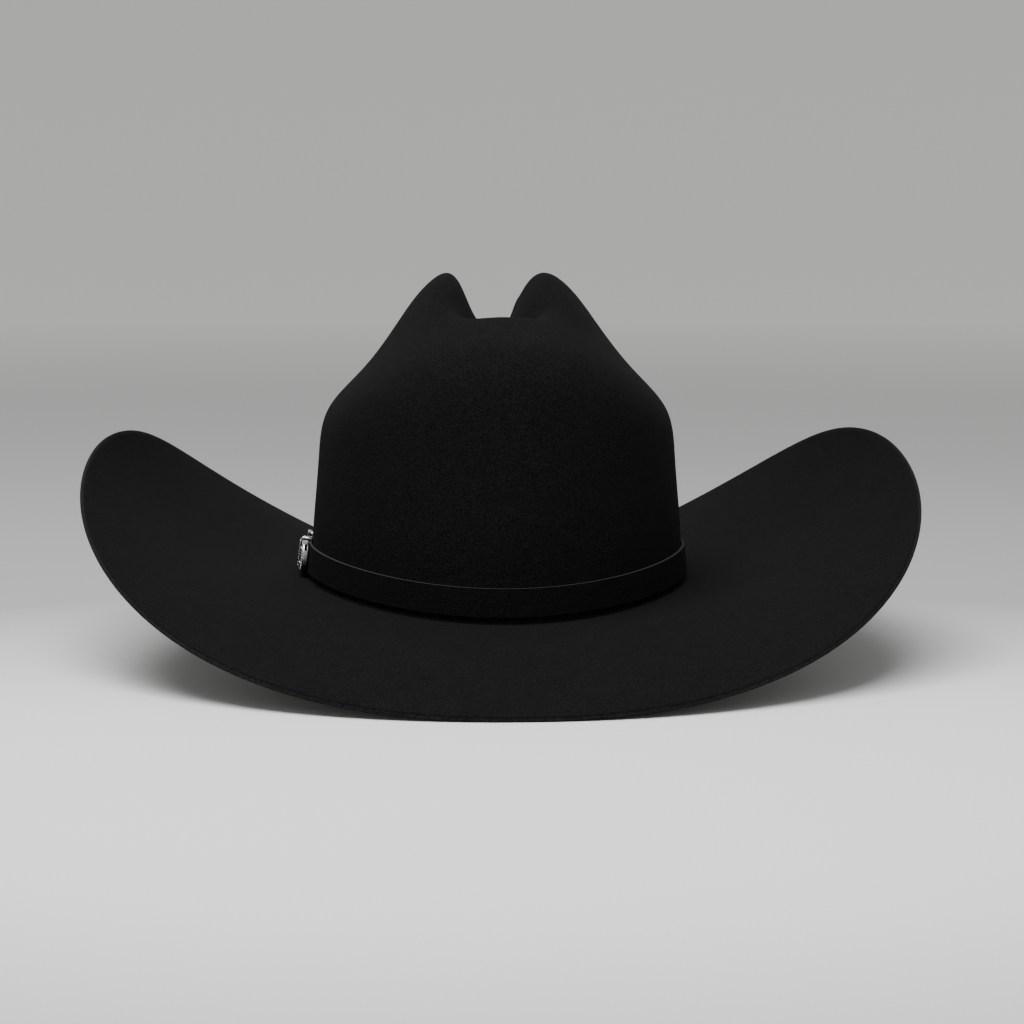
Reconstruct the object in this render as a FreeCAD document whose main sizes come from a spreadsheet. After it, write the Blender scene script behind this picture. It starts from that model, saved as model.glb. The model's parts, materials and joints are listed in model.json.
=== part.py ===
import FreeCAD, Part

import math
import os

import Sketcher
from FreeCAD import Vector

# Felt cowboy hat with a cattleman crease, a self-felt hatband and a three-piece buckle set.
# Frame: +Z up, the front of the hat towards -Y, the wearer's left towards +X.
# The origin is on the surface that the brim rests on, under the middle of the hat.

# ---------------------------------------------------------------------------
# Driving dimensions, in millimetres and degrees
# ---------------------------------------------------------------------------
DIMENSIONS = {
    # felt body
    "felt_thickness": 2.2,
    "oval_half_width": 86.0,
    "oval_half_length": 105.5,
    "junction_height": 24.0,
    "junction_rise": 8.4,
    "junction_blend": 60.0,
    "brim_width_side": 117.2,
    "brim_width_end": 108.5,
    "brim_trim_rear": 1.9,
    "brim_trim_front": 5.5,
    "side_start_slope": 4.05,
    "side_rim_slope": 73.2,
    "end_start_slope": -3.0,
    "end_rim_slope": -22.0,
    "curl_power": 1.16,
    "roll_forward_angle": 14.4,
    "roll_power": 1.95,
    "roll_power_rear_gain": 0.465,
    "crease_depth": 34.0,
    "crease_depth_front": 20.0,
    "crease_half_width_front": 10.2,
    "crease_half_width_rear": 21.5,
    "crease_power": 2.96,
    "crease_rear_end": 41.3,
    "crease_fade": 6.5,
    "crease_widening_start": -60.0,
    "crease_widening_length": 110.0,
    "crease_step_place": -66.0,
    "crease_step_fade": 5.0,
    "crease_wall_height": 84.0,
    "crease_wall_blend": 38.0,
    "dent_share": 0.16,
    "dent_forward": 48.0,
    "dent_length": 32.0,
    "dent_height": 106.0,
    "dent_tall": 24.0,
    # inside of the crown
    "lining_gap": 0.3,
    "lining_tip_gap": 1.2,
    "lining_thickness": 0.5,
    "sweatband_depth": 3.3,
    "sweatband_thickness": 1.2,
    "reed_radius": 0.7,
    "reed_tape_radius": 1.5,
    "reed_tape_gap": 0.4,
    "reed_gap": 0.4,
    "piping_radius": 0.9,
    "piping_gap": 0.2,
    "stitch_radius": 0.3,
    "stitch_length": 4.0,
    "stitch_gap": 0.05,
    "patch_width": 16.0,
    "patch_thickness": 0.4,
    "patch_gap": 0.35,
    "patch_foot": 9.0,
    "bow_half_span": 13.0,
    "bow_height": 8.0,
    "bow_thickness": 2.4,
    "knot_width": 4.6,
    "knot_height": 5.0,
    "knot_thickness": 3.4,
    "knot_gap": 0.2,
    "tail_length": 12.0,
    "tail_width": 2.6,
    "tail_thickness": 0.6,
    "tail_spread": 24.0,
    "bow_place": 14.0,
    "tag_width": 14.0,
    "tag_height": 9.0,
    "tag_below_top": 3.0,
    "tag_turn": 24.0,
    # hatband
    "strap_thickness": 1.2,
    "strap_height": 12.2,
    "strap_clearance": 0.35,
    "strap_lift": 3.2,
    "strap_flare": 1.3,
    # buckle set, measured along the band from the buckle's bar
    "bar_back": -22.0,
    "bar_offset": 2.3,
    "bar_radius": 0.5,
    "bore_gap": 0.02,
    "frame_reach": 15.6,
    "frame_rail": 1.6,
    "frame_rim": 2.8,
    "frame_thickness": 2.2,
    "frame_window_height": 13.6,
    "frame_tilt": 15.0,
    "frame_corner": 2.6,
    "eye_back": 1.5,
    "prong_slot_height": 2.8,
    "prong_width": 1.5,
    "prong_thickness": 1.0,
    "prong_eye_radius": 1.25,
    "prong_gap": 0.06,
    "prong_rest_gap": 0.08,
    "keeper_width": 5.0,
    "keeper_place": 16.5,
    "keeper_inner_height": 13.8,
    "keeper_inner_depth": 4.2,
    "keeper_wall": 0.8,
    "keeper_back_wall": 0.3,
    "keeper_offset": 0.2,
    "tip_length": 12.5,
    "tip_start": 20.5,
    "tip_height": 13.6,
    "tip_thickness": 2.5,
    "tip_pocket": 1.5,
    "tip_end_wall": 0.7,
    "tip_corner": 0.65,
    "rivet_radius": 0.7,
    "rivet_height": 0.5,
    "rivet_spacing": 6.8,
    "rivet_back": 3.6,
    "fold_stitch_radius": 0.14,
    "fold_stitch_spacing": 8.0,
}

# Half profiles of the crown: (share of the oval's half size, height above the junction).
# The wall rises from the junction, pulls in a little under the band, and turns over the top.
SIDE_PROFILE = [
    (1.0, 0.0), (0.970, 9.0), (0.976, 24.0), (0.962, 40.0), (0.938, 64.0), (0.928, 86.0),
    (0.702, 102.5), (0.513, 125.3), (0.347, 145.4), (0.12, 154.5), (0.0, 154.5),
]
REAR_PROFILE = [
    (1.0, 0.0), (0.975, 9.0), (0.985, 24.0), (0.985, 40.0), (0.965, 80.0), (0.950, 104.0),
    (0.845, 119.3), (0.600, 125.3), (0.400, 141.4), (0.12, 154.5), (0.0, 154.5),
]
FRONT_PROFILE = [
    (1.0, 0.0), (0.975, 9.0), (0.985, 24.0), (0.985, 40.0), (0.965, 80.0), (0.930, 109.5),
    (0.795, 128.8), (0.550, 138.8), (0.360, 148.1), (0.12, 154.5), (0.0, 154.5),
]

DEGREE = 3
ANGLES_AROUND = 72
BRIM_ROWS = 13
CROWN_ROWS = 40
BRIM_ROW_BUNCHING = 1.3
CURL_STEPS = 16
SMALL_ANGLE = 1e-3
SMALL_STEP = 1e-3
HALVINGS = 40
REAR = math.pi / 2
WALL_TOP_PLACE = 0.6

doc = FreeCAD.newDocument("CowboyHat")
sheet = doc.addObject("Spreadsheet::Sheet", "Sizes")
for row, (alias, value) in enumerate(DIMENSIONS.items(), start=1):
    sheet.set(f"A{row}", alias)
    sheet.set(f"B{row}", str(value))
    sheet.setAlias(f"B{row}", alias)
doc.recompute()


def size(alias):
    """A driving dimension, read from the sheet."""
    return float(sheet.get(alias))


SIZES = {alias: size(alias) for alias in DIMENSIONS}


def mix(low, high, share):
    return low + (high - low) * share


def clamped(share):
    return min(max(share, 0.0), 1.0)


# ---------------------------------------------------------------------------
# The felt surface: one formula from the brim's edge to the middle of the crown
# ---------------------------------------------------------------------------
def open_curve(points):
    """A clamped cubic curve that is drawn by its control points."""
    curve = Part.BSplineCurve()
    curve.buildFromPoles(points, False, DEGREE)
    return curve


def profile_curve(profile):
    return open_curve([Vector(share, 0, height) for share, height in profile])


side_curve = profile_curve(SIDE_PROFILE)
rear_curve = profile_curve(REAR_PROFILE)
front_curve = profile_curve(FRONT_PROFILE)
profile_cache = {}


def profile_points(step):
    """Side, rear and front profile at one step of the way from the junction to the top."""
    if step not in profile_cache:
        profile_cache[step] = [c.value(step) for c in (side_curve, rear_curve, front_curve)]
    return profile_cache[step]


def junction_at(angle):
    """Height of the line where the brim meets the crown: lifted at the sides."""
    return SIZES["junction_height"] + SIZES["junction_rise"] * math.cos(angle) ** 2


def crease_drop(across, along, height):
    """How far the lengthwise crease lowers the top of the crown, and nothing of the wall."""
    widening = (along - SIZES["crease_widening_start"]) / SIZES["crease_widening_length"]
    half_width = mix(SIZES["crease_half_width_front"], SIZES["crease_half_width_rear"], clamped(widening))
    depth_share = 1.0 / (1.0 + math.exp((SIZES["crease_step_place"] - along) / SIZES["crease_step_fade"]))
    depth = mix(SIZES["crease_depth_front"], SIZES["crease_depth"], depth_share)
    ends = 1.0 / (1.0 + math.exp((along - SIZES["crease_rear_end"]) / SIZES["crease_fade"]))
    over_wall = clamped((height - SIZES["crease_wall_height"]) / SIZES["crease_wall_blend"])
    over_wall = over_wall * over_wall * (3.0 - 2.0 * over_wall)
    return over_wall * depth * ends * math.exp(-((abs(across) / half_width) ** SIZES["crease_power"]))


def dent_share(along, height):
    """How far the two hand dents, forward on the sides, pull the crown in."""
    length_part = ((along + SIZES["dent_forward"]) / SIZES["dent_length"]) ** 2
    height_part = ((height - SIZES["dent_height"]) / SIZES["dent_tall"]) ** 2
    return SIZES["dent_share"] * math.exp(-length_part - height_part)


def crown_point(angle, step):
    side, rear, front = profile_points(step)
    side_share = math.cos(angle) ** 2
    end = rear if math.sin(angle) > 0 else front
    reach = mix(end.x, side.x, side_share)
    height = mix(end.z, side.z, side_share)
    along = SIZES["oval_half_length"] * reach * math.sin(angle)
    across = SIZES["oval_half_width"] * reach * math.cos(angle)
    across *= 1.0 - dent_share(along, height)
    lift = SIZES["junction_rise"] * side_share * max(0.0, 1.0 - height / SIZES["junction_blend"]) ** 2
    top = SIZES["junction_height"] + lift + height - crease_drop(across, along, height)
    return Vector(across, along, top)


def roll_share(angle):
    """1 where the brim is rolled up most, 0 at the front and the back."""
    across = abs(math.cos(angle))
    turned = math.asin(max(-1.0, min(1.0, math.sin(angle))))
    turned += math.radians(SIZES["roll_forward_angle"]) * across
    power = SIZES["roll_power"] + SIZES["roll_power_rear_gain"] * math.sin(angle)
    return max(0.0, math.cos(turned)) ** power


def brim_point(angle, out):
    """out is 0 at the junction and 1 at the brim's edge; the felt keeps its width as it curls."""
    half_width, half_length = SIZES["oval_half_width"], SIZES["oval_half_length"]
    across, along = half_width * math.cos(angle), half_length * math.sin(angle)
    normal = Vector(math.cos(angle) / half_width, math.sin(angle) / half_length, 0)
    normal.normalize()
    roll = roll_share(angle)
    start = math.radians(mix(SIZES["end_start_slope"], SIZES["side_start_slope"], roll))
    finish = math.radians(mix(SIZES["end_rim_slope"], SIZES["side_rim_slope"], roll))
    width = mix(SIZES["brim_width_end"], SIZES["brim_width_side"], math.cos(angle) ** 2)
    trim = SIZES["brim_trim_rear"] if math.sin(angle) > 0 else SIZES["brim_trim_front"]
    width -= trim * math.sin(2 * angle) ** 2
    reach = rise = 0.0
    for index in range(CURL_STEPS):
        share = (index + 0.5) / CURL_STEPS * out
        slope = mix(start, finish, share ** SIZES["curl_power"])
        reach += math.cos(slope) * width * out / CURL_STEPS
        rise += math.sin(slope) * width * out / CURL_STEPS
    return Vector(across, along, junction_at(angle) + rise) + normal * reach


def felt_point(angle, place):
    """place runs from -1 at the brim's edge, through 0 at the junction, to 1 at the crown's top."""
    return brim_point(angle, -place) if place < 0 else crown_point(angle, place)


def layer_point(angle, place, depth):
    """The point at a depth below the felt's outer face; a negative depth is outside it."""
    here = felt_point(angle, place)
    if place >= 1.0:
        return here - Vector(0, 0, depth)
    around = felt_point(angle + SMALL_ANGLE, place) - felt_point(angle - SMALL_ANGLE, place)
    normals = []
    if place > -1.0:
        normals.append(around.cross(here - felt_point(angle, place - SMALL_STEP)))
    normals.append(around.cross(felt_point(angle, place + SMALL_STEP) - here))
    for normal in normals:
        normal.normalize()
    first, last = normals[0], normals[-1]
    return here - (first + last) * (depth / (1.0 + first.dot(last)))


# ---------------------------------------------------------------------------
# Making solids from nets of points
# ---------------------------------------------------------------------------
def ring_surface(net):
    """A smooth face: closed around, from the first row of each line of points to its last."""
    surface = Part.BSplineSurface()
    around, rows = len(net), len(net[0])
    row_knots = rows - DEGREE + 1
    surface.buildFromPolesMultsKnots(
        net,
        [1] * (around + 1),
        [DEGREE + 1] + [1] * (row_knots - 2) + [DEGREE + 1],
        [float(k) for k in range(around + 1)],
        [float(k) for k in range(row_knots)],
        True,
        False,
        DEGREE,
        DEGREE,
    )
    return surface


def sewn_solid(faces):
    shell = Part.Shell(faces)
    if len(faces) > 1:
        shell.sewShape()
    solid = Part.Solid(shell)
    if solid.Volume < 0:
        solid.reverse()
    return solid


def angles_around():
    return [2 * math.pi * k / ANGLES_AROUND for k in range(ANGLES_AROUND)]


def ring_solid(places, depth_out, depth_in):
    """A skin between two depths, right round the hat, over a list of places."""
    angles = angles_around()
    outer = ring_surface([[layer_point(a, p, depth_out) for p in places] for a in angles])
    inner = ring_surface([[layer_point(a, p, depth_in) for p in places] for a in angles])
    faces = [outer.toShape(), inner.toShape()]
    low_v, high_v = outer.bounds()[2:]
    ends = [low_v] if places[-1] >= 1.0 else [low_v, high_v]
    for v in ends:
        faces.append(Part.makeRuledSurface(outer.vIso(v).toShape(), inner.vIso(v).toShape()))
    return sewn_solid(faces)


def places_between(first, last, count):
    return [mix(first, last, k / (count - 1)) for k in range(count)]


def ring_tube(centres, outwards, radius, sides=8):
    """A closed round cord along a ring of centres."""
    # a closed cubic curve passes inside its control points by this share
    swell = 3.0 / (2.0 + math.cos(2 * math.pi / sides))
    net = []
    for centre, outward in zip(centres, outwards):
        row = []
        for k in range(sides):
            turn = 2 * math.pi * k / sides
            arm = outward * math.cos(turn) + Vector(0, 0, 1) * math.sin(turn)
            row.append(centre + arm * radius * swell)
        net.append(row)
    surface = Part.BSplineSurface()
    around = len(net)
    surface.buildFromPolesMultsKnots(
        net,
        [1] * (around + 1),
        [1] * (sides + 1),
        [float(k) for k in range(around + 1)],
        [float(k) for k in range(sides + 1)],
        True,
        True,
        DEGREE,
        DEGREE,
    )
    return sewn_solid([surface.toShape()])


def outward_at(angle):
    normal = Vector(
        math.cos(angle) / SIZES["oval_half_width"], math.sin(angle) / SIZES["oval_half_length"], 0
    )
    return normal.normalize()


def place_at_height(height):
    """The place on the crown's side profile that is this high above the junction."""
    low, high = 0.0, WALL_TOP_PLACE
    for _ in range(HALVINGS):
        middle = (low + high) / 2
        if side_curve.value(middle).z < height:
            low = middle
        else:
            high = middle
    return (low + high) / 2


def feature(name, shape, placement=None):
    piece = doc.addObject("Part::Feature", name)
    piece.Label = name
    piece.Shape = shape
    if placement:
        piece.Placement = placement
    return piece


# ---------------------------------------------------------------------------
# Felt body, lining, sweatband
# ---------------------------------------------------------------------------
def make_felt_body():
    brim = [-((k / BRIM_ROWS) ** BRIM_ROW_BUNCHING) for k in range(BRIM_ROWS, 0, -1)]
    crown = places_between(0.0, 1.0, CROWN_ROWS)
    return feature("felt_body", ring_solid(brim + crown, 0.0, SIZES["felt_thickness"]))


LINING_SEAM_PLACE = 0.66
LINING_SEAM_GAP = 0.004
LINING_SIDE_ROWS = 26
LINING_TIP_ROWS = 20
SWEATBAND_ROWS = 12
SWEATBAND_TOP_HEIGHT = 57.0
SWEATBAND_FOOT_HEIGHT = 3.2
LINING_FOOT_HEIGHT = 14.0
REED_END_SHARE = 0.1


def lining_depths(gap):
    top = SIZES["felt_thickness"] + SIZES[gap]
    return top, top + SIZES["lining_thickness"]


def make_lining():
    outer, inner = lining_depths("lining_gap")
    tip_outer, tip_inner = lining_depths("lining_tip_gap")
    foot = place_at_height(LINING_FOOT_HEIGHT)
    sides = places_between(foot, LINING_SEAM_PLACE - LINING_SEAM_GAP, LINING_SIDE_ROWS)
    tip = places_between(LINING_SEAM_PLACE + LINING_SEAM_GAP, 1.0, LINING_TIP_ROWS)
    feature("lining_sides", ring_solid(sides, outer, inner))
    feature("lining_tip", ring_solid(tip, tip_outer, tip_inner))
    angles = angles_around()
    depth = tip_inner + SIZES["piping_radius"] + SIZES["piping_gap"]
    centres = [layer_point(a, LINING_SEAM_PLACE, depth) for a in angles]
    tube = ring_tube(centres, [outward_at(a) for a in angles], SIZES["piping_radius"])
    feature("lining_piping", tube)


def make_sweatband():
    foot, top = place_at_height(SWEATBAND_FOOT_HEIGHT), place_at_height(SWEATBAND_TOP_HEIGHT)
    depth_out = SIZES["sweatband_depth"]
    depth_in = depth_out + SIZES["sweatband_thickness"]
    feature("sweatband", ring_solid(places_between(foot, top, SWEATBAND_ROWS), depth_out, depth_in))


def reed_centres(angles):
    """The cord's middle: just under the sweatband's foot, clear of it by the tape and a small gap."""
    foot = place_at_height(SWEATBAND_FOOT_HEIGHT)
    middle_depth = SIZES["sweatband_depth"] + SIZES["sweatband_thickness"] / 2
    below = SIZES["reed_tape_radius"] + SIZES["reed_gap"]
    centres = []
    for angle in angles:
        centre = layer_point(angle, foot, middle_depth)
        centre.z = layer_point(angle, foot, inner_face_depth()).z - below
        centres.append(centre)
    return centres


def reed_ring(radius):
    angles = angles_around()
    return ring_tube(reed_centres(angles), [outward_at(a) for a in angles], radius)


def reed_core():
    """The plastic reed: a round cord bent round the sweatband's foot; its ends nearly meet."""
    step = 2 * math.pi / ANGLES_AROUND
    centres = reed_centres([REAR + step * (k + REED_END_SHARE) for k in range(ANGLES_AROUND)])
    centres.append(reed_centres([REAR - step * REED_END_SHARE])[0])
    path = open_curve(centres)
    start = path.FirstParameter
    profile = Part.Wire(Part.makeCircle(SIZES["reed_radius"], path.value(start), path.tangent(start)[0]))
    return Part.Wire(path.toShape()).makePipeShell([profile], True, True)


def make_reed():
    feature("reed", reed_core())
    bore = reed_ring(SIZES["reed_radius"] + SIZES["reed_tape_gap"])
    cover = reed_ring(SIZES["reed_tape_radius"]).cut(bore)
    feature("reed_tape", cover)


def small_rod(start, finish, radius):
    along = finish - start
    return Part.makeCylinder(radius, along.Length, start, along)


STITCH_COUNT = 96
STITCHES_ABOVE_FOOT = 3.0


def make_sweatband_stitches():
    depth = inner_face_depth() + SIZES["stitch_radius"] + SIZES["stitch_gap"]
    place = place_at_height(SWEATBAND_FOOT_HEIGHT + STITCHES_ABOVE_FOOT)
    rods = []
    for k in range(STITCH_COUNT):
        angle = 2 * math.pi * (k + 0.5) / STITCH_COUNT
        middle = layer_point(angle, place, depth)
        around = layer_point(angle + SMALL_ANGLE, place, depth) - middle
        around.normalize()
        half = around * (SIZES["stitch_length"] / 2)
        rods.append(small_rod(middle - half, middle + half, SIZES["stitch_radius"]))
    feature("sweatband_stitches", Part.makeCompound(rods))


PATCH_ROWS = 5
PATCH_SECTIONS = 7


def patch_solid(middle_angle, width, height_low, height_high, depth_out, depth_in):
    """A small sheet that lies on the wall."""
    corner = layer_point(middle_angle, place_at_height(height_low), depth_in)
    half_angle = width / 2 / math.hypot(corner.x, corner.y)
    places = places_between(place_at_height(height_low), place_at_height(height_high), PATCH_ROWS)
    sections = []
    for share in places_between(-1, 1, PATCH_SECTIONS):
        angle = middle_angle + half_angle * share
        skin = [layer_point(angle, p, depth_out) for p in places]
        skin += [layer_point(angle, p, depth_in) for p in reversed(places)]
        # each section is kept flat, in the upright plane through the hat's middle
        upright = Vector(skin[0].x, skin[0].y, 0).normalize()
        outline = [upright * math.hypot(p.x, p.y) + Vector(0, 0, p.z) for p in skin]
        sections.append(Part.makePolygon(outline + outline[:1]))
    return Part.makeLoft(sections, True, True)


def inner_face_depth():
    return SIZES["sweatband_depth"] + SIZES["sweatband_thickness"]


def make_patch_and_tag():
    on_leather = inner_face_depth() + SIZES["patch_gap"]
    under = on_leather + SIZES["patch_thickness"]
    foot, top = SIZES["patch_foot"], SWEATBAND_TOP_HEIGHT - 1.0
    patch = patch_solid(REAR, SIZES["patch_width"], foot, top, on_leather, under)
    feature("sweatband_seam_patch", patch)
    tag_angle = REAR - math.radians(SIZES["tag_turn"])
    high = SWEATBAND_TOP_HEIGHT - SIZES["tag_below_top"]
    low = high - SIZES["tag_height"]
    tag = patch_solid(tag_angle, SIZES["tag_width"], low, high, on_leather, under)
    feature("size_tag", tag)


def loop_solid(side):
    """One flattened ribbon loop beside the knot."""
    reach = (SIZES["bow_half_span"] - SIZES["knot_width"] / 2 - SIZES["knot_gap"]) / 2
    shape = FreeCAD.Matrix()
    shape.scale(reach, SIZES["bow_thickness"] / 2, SIZES["bow_height"] / 2)
    loop = Part.makeSphere(1.0).transformGeometry(shape)
    loop.translate(Vector(side * (SIZES["bow_half_span"] - reach), 0, 0))
    return loop


def make_bow():
    """A little ribbon bow on the leather, over the rear seam."""
    depth = inner_face_depth() + SIZES["patch_thickness"] + 0.4 + SIZES["knot_thickness"] / 2
    seat = layer_point(REAR, place_at_height(SIZES["bow_place"]), depth)
    loops = Part.makeCompound([loop_solid(-1), loop_solid(1)])
    loops.translate(seat)
    feature("bow_loops", loops)
    knot = doc.addObject("Part::Box", "bow_knot")
    knot.Label = "bow_knot"
    knot.setExpression("Length", "Sizes.knot_width")
    knot.setExpression("Width", "Sizes.knot_thickness")
    knot.setExpression("Height", "Sizes.knot_height")
    half = Vector(SIZES["knot_width"], SIZES["knot_thickness"], SIZES["knot_height"]) * 0.5
    knot.Placement.Base = seat - half
    width, thick, length = SIZES["tail_width"], SIZES["tail_thickness"], SIZES["tail_length"]
    tails = []
    for side in (-1, 1):
        tail = Part.makeBox(width, thick, length, Vector(-width / 2, -thick / 2, -length))
        tail.rotate(Vector(0, 0, 0), Vector(0, 1, 0), side * -SIZES["tail_spread"])
        tail.translate(seat + Vector(side * 1.6, SIZES["knot_thickness"] / 2 - 0.5, -3.2))
        tails.append(tail)
    feature("bow_tails", Part.makeCompound(tails))


# ---------------------------------------------------------------------------
# Hatband strap: one strip that folds round the buckle's bar, runs right round
# the crown and laps over itself through the buckle and the keeper
# ---------------------------------------------------------------------------
BAND_HALF_WIDTH = 84.0
BAND_HALF_LENGTH = 104.0
LAP = [(-34, 0.95), (-27, 1.2), (-20, 2.1), (-13, 3.4), (-7, 4.7), (0, 5.3), (6, 5.05), (12, 4.25),
       (17, 3.45), (21, 3.15), (26, 3.1), (32, 3.1)]
# holes for the prong, through the lap and through the fold: (place along, length, inner, outer)
PRONG_SLOT = (-10.8, 10.2, 2.9, 8.0)
FOLD_SLOT = (-3.4, 6.2, -0.2, 4.34)
FOLD_RADIUS = 1.45
FOLD_STEPS = 8
ROUND_STEPS = 56
RETURN_PART = [(10, 0.95), (7, 0.95), (4, 0.95), (2, 0.97)]
LEAVING_PART = [(2, 3.75), (4, 3.4), (7, 2.7), (10, 2.2), (13, 1.7), (17, 1.5), (21, 1.3), (26, 0.95)]


def band_angle(along):
    """Angle at a distance along the band from mid-side, near the wearer's left."""
    return math.asin(along / BAND_HALF_LENGTH)


def band_normal(angle):
    return Vector(math.cos(angle) / BAND_HALF_WIDTH, math.sin(angle) / BAND_HALF_LENGTH, 0).normalize()


def band_point(angle, offset):
    base = Vector(BAND_HALF_WIDTH * math.cos(angle), BAND_HALF_LENGTH * math.sin(angle), 0)
    return base + band_normal(angle) * offset


def strap_stations():
    """Centre line of the strap in plan, as (angle, offset from the wall)."""
    bar = SIZES["bar_back"]
    stations = [(band_angle(bar + along), offset) for along, offset in RETURN_PART]
    for k in range(FOLD_STEPS + 1):
        turn = math.pi * k / FOLD_STEPS
        along = bar - FOLD_RADIUS * math.sin(turn)
        stations.append((band_angle(along), SIZES["bar_offset"] - FOLD_RADIUS * math.cos(turn)))
    stations += [(band_angle(bar + along), offset) for along, offset in LEAVING_PART]
    first = stations[-1][0]
    last = band_angle(bar + LAP[0][0]) + 2 * math.pi
    resting = SIZES["strap_clearance"] + SIZES["strap_thickness"] / 2
    for k in range(1, ROUND_STEPS):
        stations.append((mix(first, last, k / ROUND_STEPS), resting))
    stations += [(band_angle(bar + along) + 2 * math.pi, offset) for along, offset in LAP]
    return stations


def make_strap():
    stations = strap_stations()
    centres = [band_point(angle, offset) for angle, offset in stations]
    edges = {"outer_top": [], "outer_low": [], "inner_top": [], "inner_low": []}
    half = SIZES["strap_thickness"] / 2
    for index, (angle, _) in enumerate(stations):
        ahead = centres[min(index + 1, len(centres) - 1)] - centres[max(index - 1, 0)]
        sideways = Vector(ahead.y, -ahead.x, 0).normalize()
        low = junction_at(angle) + SIZES["strap_lift"]
        flare = band_normal(angle) * SIZES["strap_flare"]
        for side, sign in (("outer", 1), ("inner", -1)):
            corner = centres[index] + sideways * (half * sign)
            edges[side + "_top"].append(corner + Vector(0, 0, low + SIZES["strap_height"]))
            edges[side + "_low"].append(corner + flare + Vector(0, 0, low))
    curves = {name: open_curve(points).toShape() for name, points in edges.items()}
    order = ["outer_top", "outer_low", "inner_low", "inner_top"]
    faces = [Part.makeRuledSurface(curves[a], curves[b]) for a, b in zip(order, order[1:] + order[:1])]
    for end in (0, -1):
        corners = [edges[name][end] for name in order]
        first = Part.makeLine(corners[0], corners[1])
        second = Part.makeLine(corners[3], corners[2])
        faces.append(Part.makeRuledSurface(first, second))
    strap = sewn_solid(faces)
    slot_height = SIZES["prong_slot_height"]
    for along, reach, low, high in (PRONG_SLOT, FOLD_SLOT):
        slot = Part.makeBox(high - low, reach, slot_height, Vector(low, along, -slot_height / 2))
        slot.Placement = side_placement(SIZES["bar_back"], 0.0).multiply(slot.Placement)
        strap = strap.cut(slot)
    feature("hatband_strap", strap)


def band_middle_height(angle):
    return junction_at(angle) + SIZES["strap_lift"] + SIZES["strap_height"] / 2


def side_placement(along, offset):
    """Local X out of the band, local Y back along it, local Z up the band, at its mid-height.

    It leans with the flared band, and climbs with it towards the middle of the side."""
    angle = band_angle(along)
    spot = band_point(angle, offset + SIZES["strap_flare"] / 2)
    spot.z = band_middle_height(angle)
    normal = band_normal(angle)
    turn = math.degrees(math.atan2(normal.y, normal.x))
    lean = math.degrees(math.atan2(SIZES["strap_flare"], SIZES["strap_height"]))
    rise = -2 * SIZES["junction_rise"] * along / BAND_HALF_LENGTH**2
    upright = FreeCAD.Rotation(Vector(0, 0, 1), turn)
    leaning = FreeCAD.Rotation(Vector(0, 1, 0), -lean)
    climbing = FreeCAD.Rotation(Vector(1, 0, 0), math.degrees(math.atan(rise)))
    return FreeCAD.Placement(spot, upright.multiply(leaning).multiply(climbing))


TACK_ANGLES = (math.pi * 0.5, math.pi * 1.02, math.pi * 1.5)


def make_band_tacks():
    """Three short thread tacks that hold the band to the felt, at its top edge."""
    rods = []
    resting = SIZES["strap_clearance"] + SIZES["strap_thickness"] + SIZES["stitch_radius"] + 0.1
    for angle in TACK_ANGLES:
        top = junction_at(angle) + SIZES["strap_lift"] + SIZES["strap_height"]
        spot = band_point(angle, resting)
        start, finish = Vector(spot), Vector(spot)
        start.z, finish.z = top - 2.2, top - 0.4
        rods.append(small_rod(start, finish, SIZES["stitch_radius"]))
    feature("band_tacks", Part.makeCompound(rods))


# ---------------------------------------------------------------------------
# Buckle set
# ---------------------------------------------------------------------------
def origin_plane(body, role):
    return next(f for f in body.Origin.OriginFeatures if f.Role == role)


def new_body(name):
    body = doc.addObject("PartDesign::Body", name)
    body.Label = name
    return body


def new_sketch(body, name, role):
    sketch = body.newObject("Sketcher::SketchObject", name)
    sketch.AttachmentSupport = (origin_plane(body, role), "")
    sketch.MapMode = "FlatFace"
    return sketch


def add_rectangle(sketch, low_x, high_x, low_y, high_y, prefix):
    """A rectangle held by four named distances from the sketch's origin, one per side."""
    corners = [(-1, -1), (1, -1), (1, 1), (-1, 1)]
    first = sketch.GeometryCount
    for start, finish in zip(corners, corners[1:] + corners[:1]):
        sketch.addGeometry(Part.LineSegment(Vector(*start, 0), Vector(*finish, 0)), False)
    for k in range(4):
        sketch.addConstraint(Sketcher.Constraint("Coincident", first + k, 2, first + (k + 1) % 4, 1))
    for k, kind in enumerate(("Horizontal", "Vertical", "Horizontal", "Vertical")):
        sketch.addConstraint(Sketcher.Constraint(kind, first + k))
    sides = (("low_x", "DistanceX", first, 1, low_x), ("high_x", "DistanceX", first + 1, 1, high_x),
             ("low_y", "DistanceY", first, 1, low_y), ("high_y", "DistanceY", first + 2, 1, high_y))
    for name, kind, line, end, formula in sides:
        index = sketch.addConstraint(Sketcher.Constraint(kind, -1, 1, line, end, 1.0))
        sketch.renameConstraint(index, prefix + name)
        sketch.setExpression(f"Constraints.{prefix}{name}", formula)


def add_pad(body, sketch, name, length):
    pad = body.newObject("PartDesign::Pad", name)
    pad.Profile = sketch
    pad.setExpression("Length", length)
    pad.SideType = "Symmetric"


def add_pocket(body, sketch, name, length):
    pocket = body.newObject("PartDesign::Pocket", name)
    pocket.Profile = sketch
    pocket.setExpression("Length", length)
    pocket.SideType = "Symmetric"


def edges_along_x(shape, reached):
    """Names of the straight edges that run through the plate where reached(point) holds."""
    names = []
    for index, edge in enumerate(shape.Edges, start=1):
        if len(edge.Vertexes) < 2:
            continue
        start, finish = edge.Vertexes[0].Point, edge.Vertexes[1].Point
        along = finish - start
        if abs(along.x) > along.Length / 2 and reached(start):
            names.append(f"Edge{index}")
    return names


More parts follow.
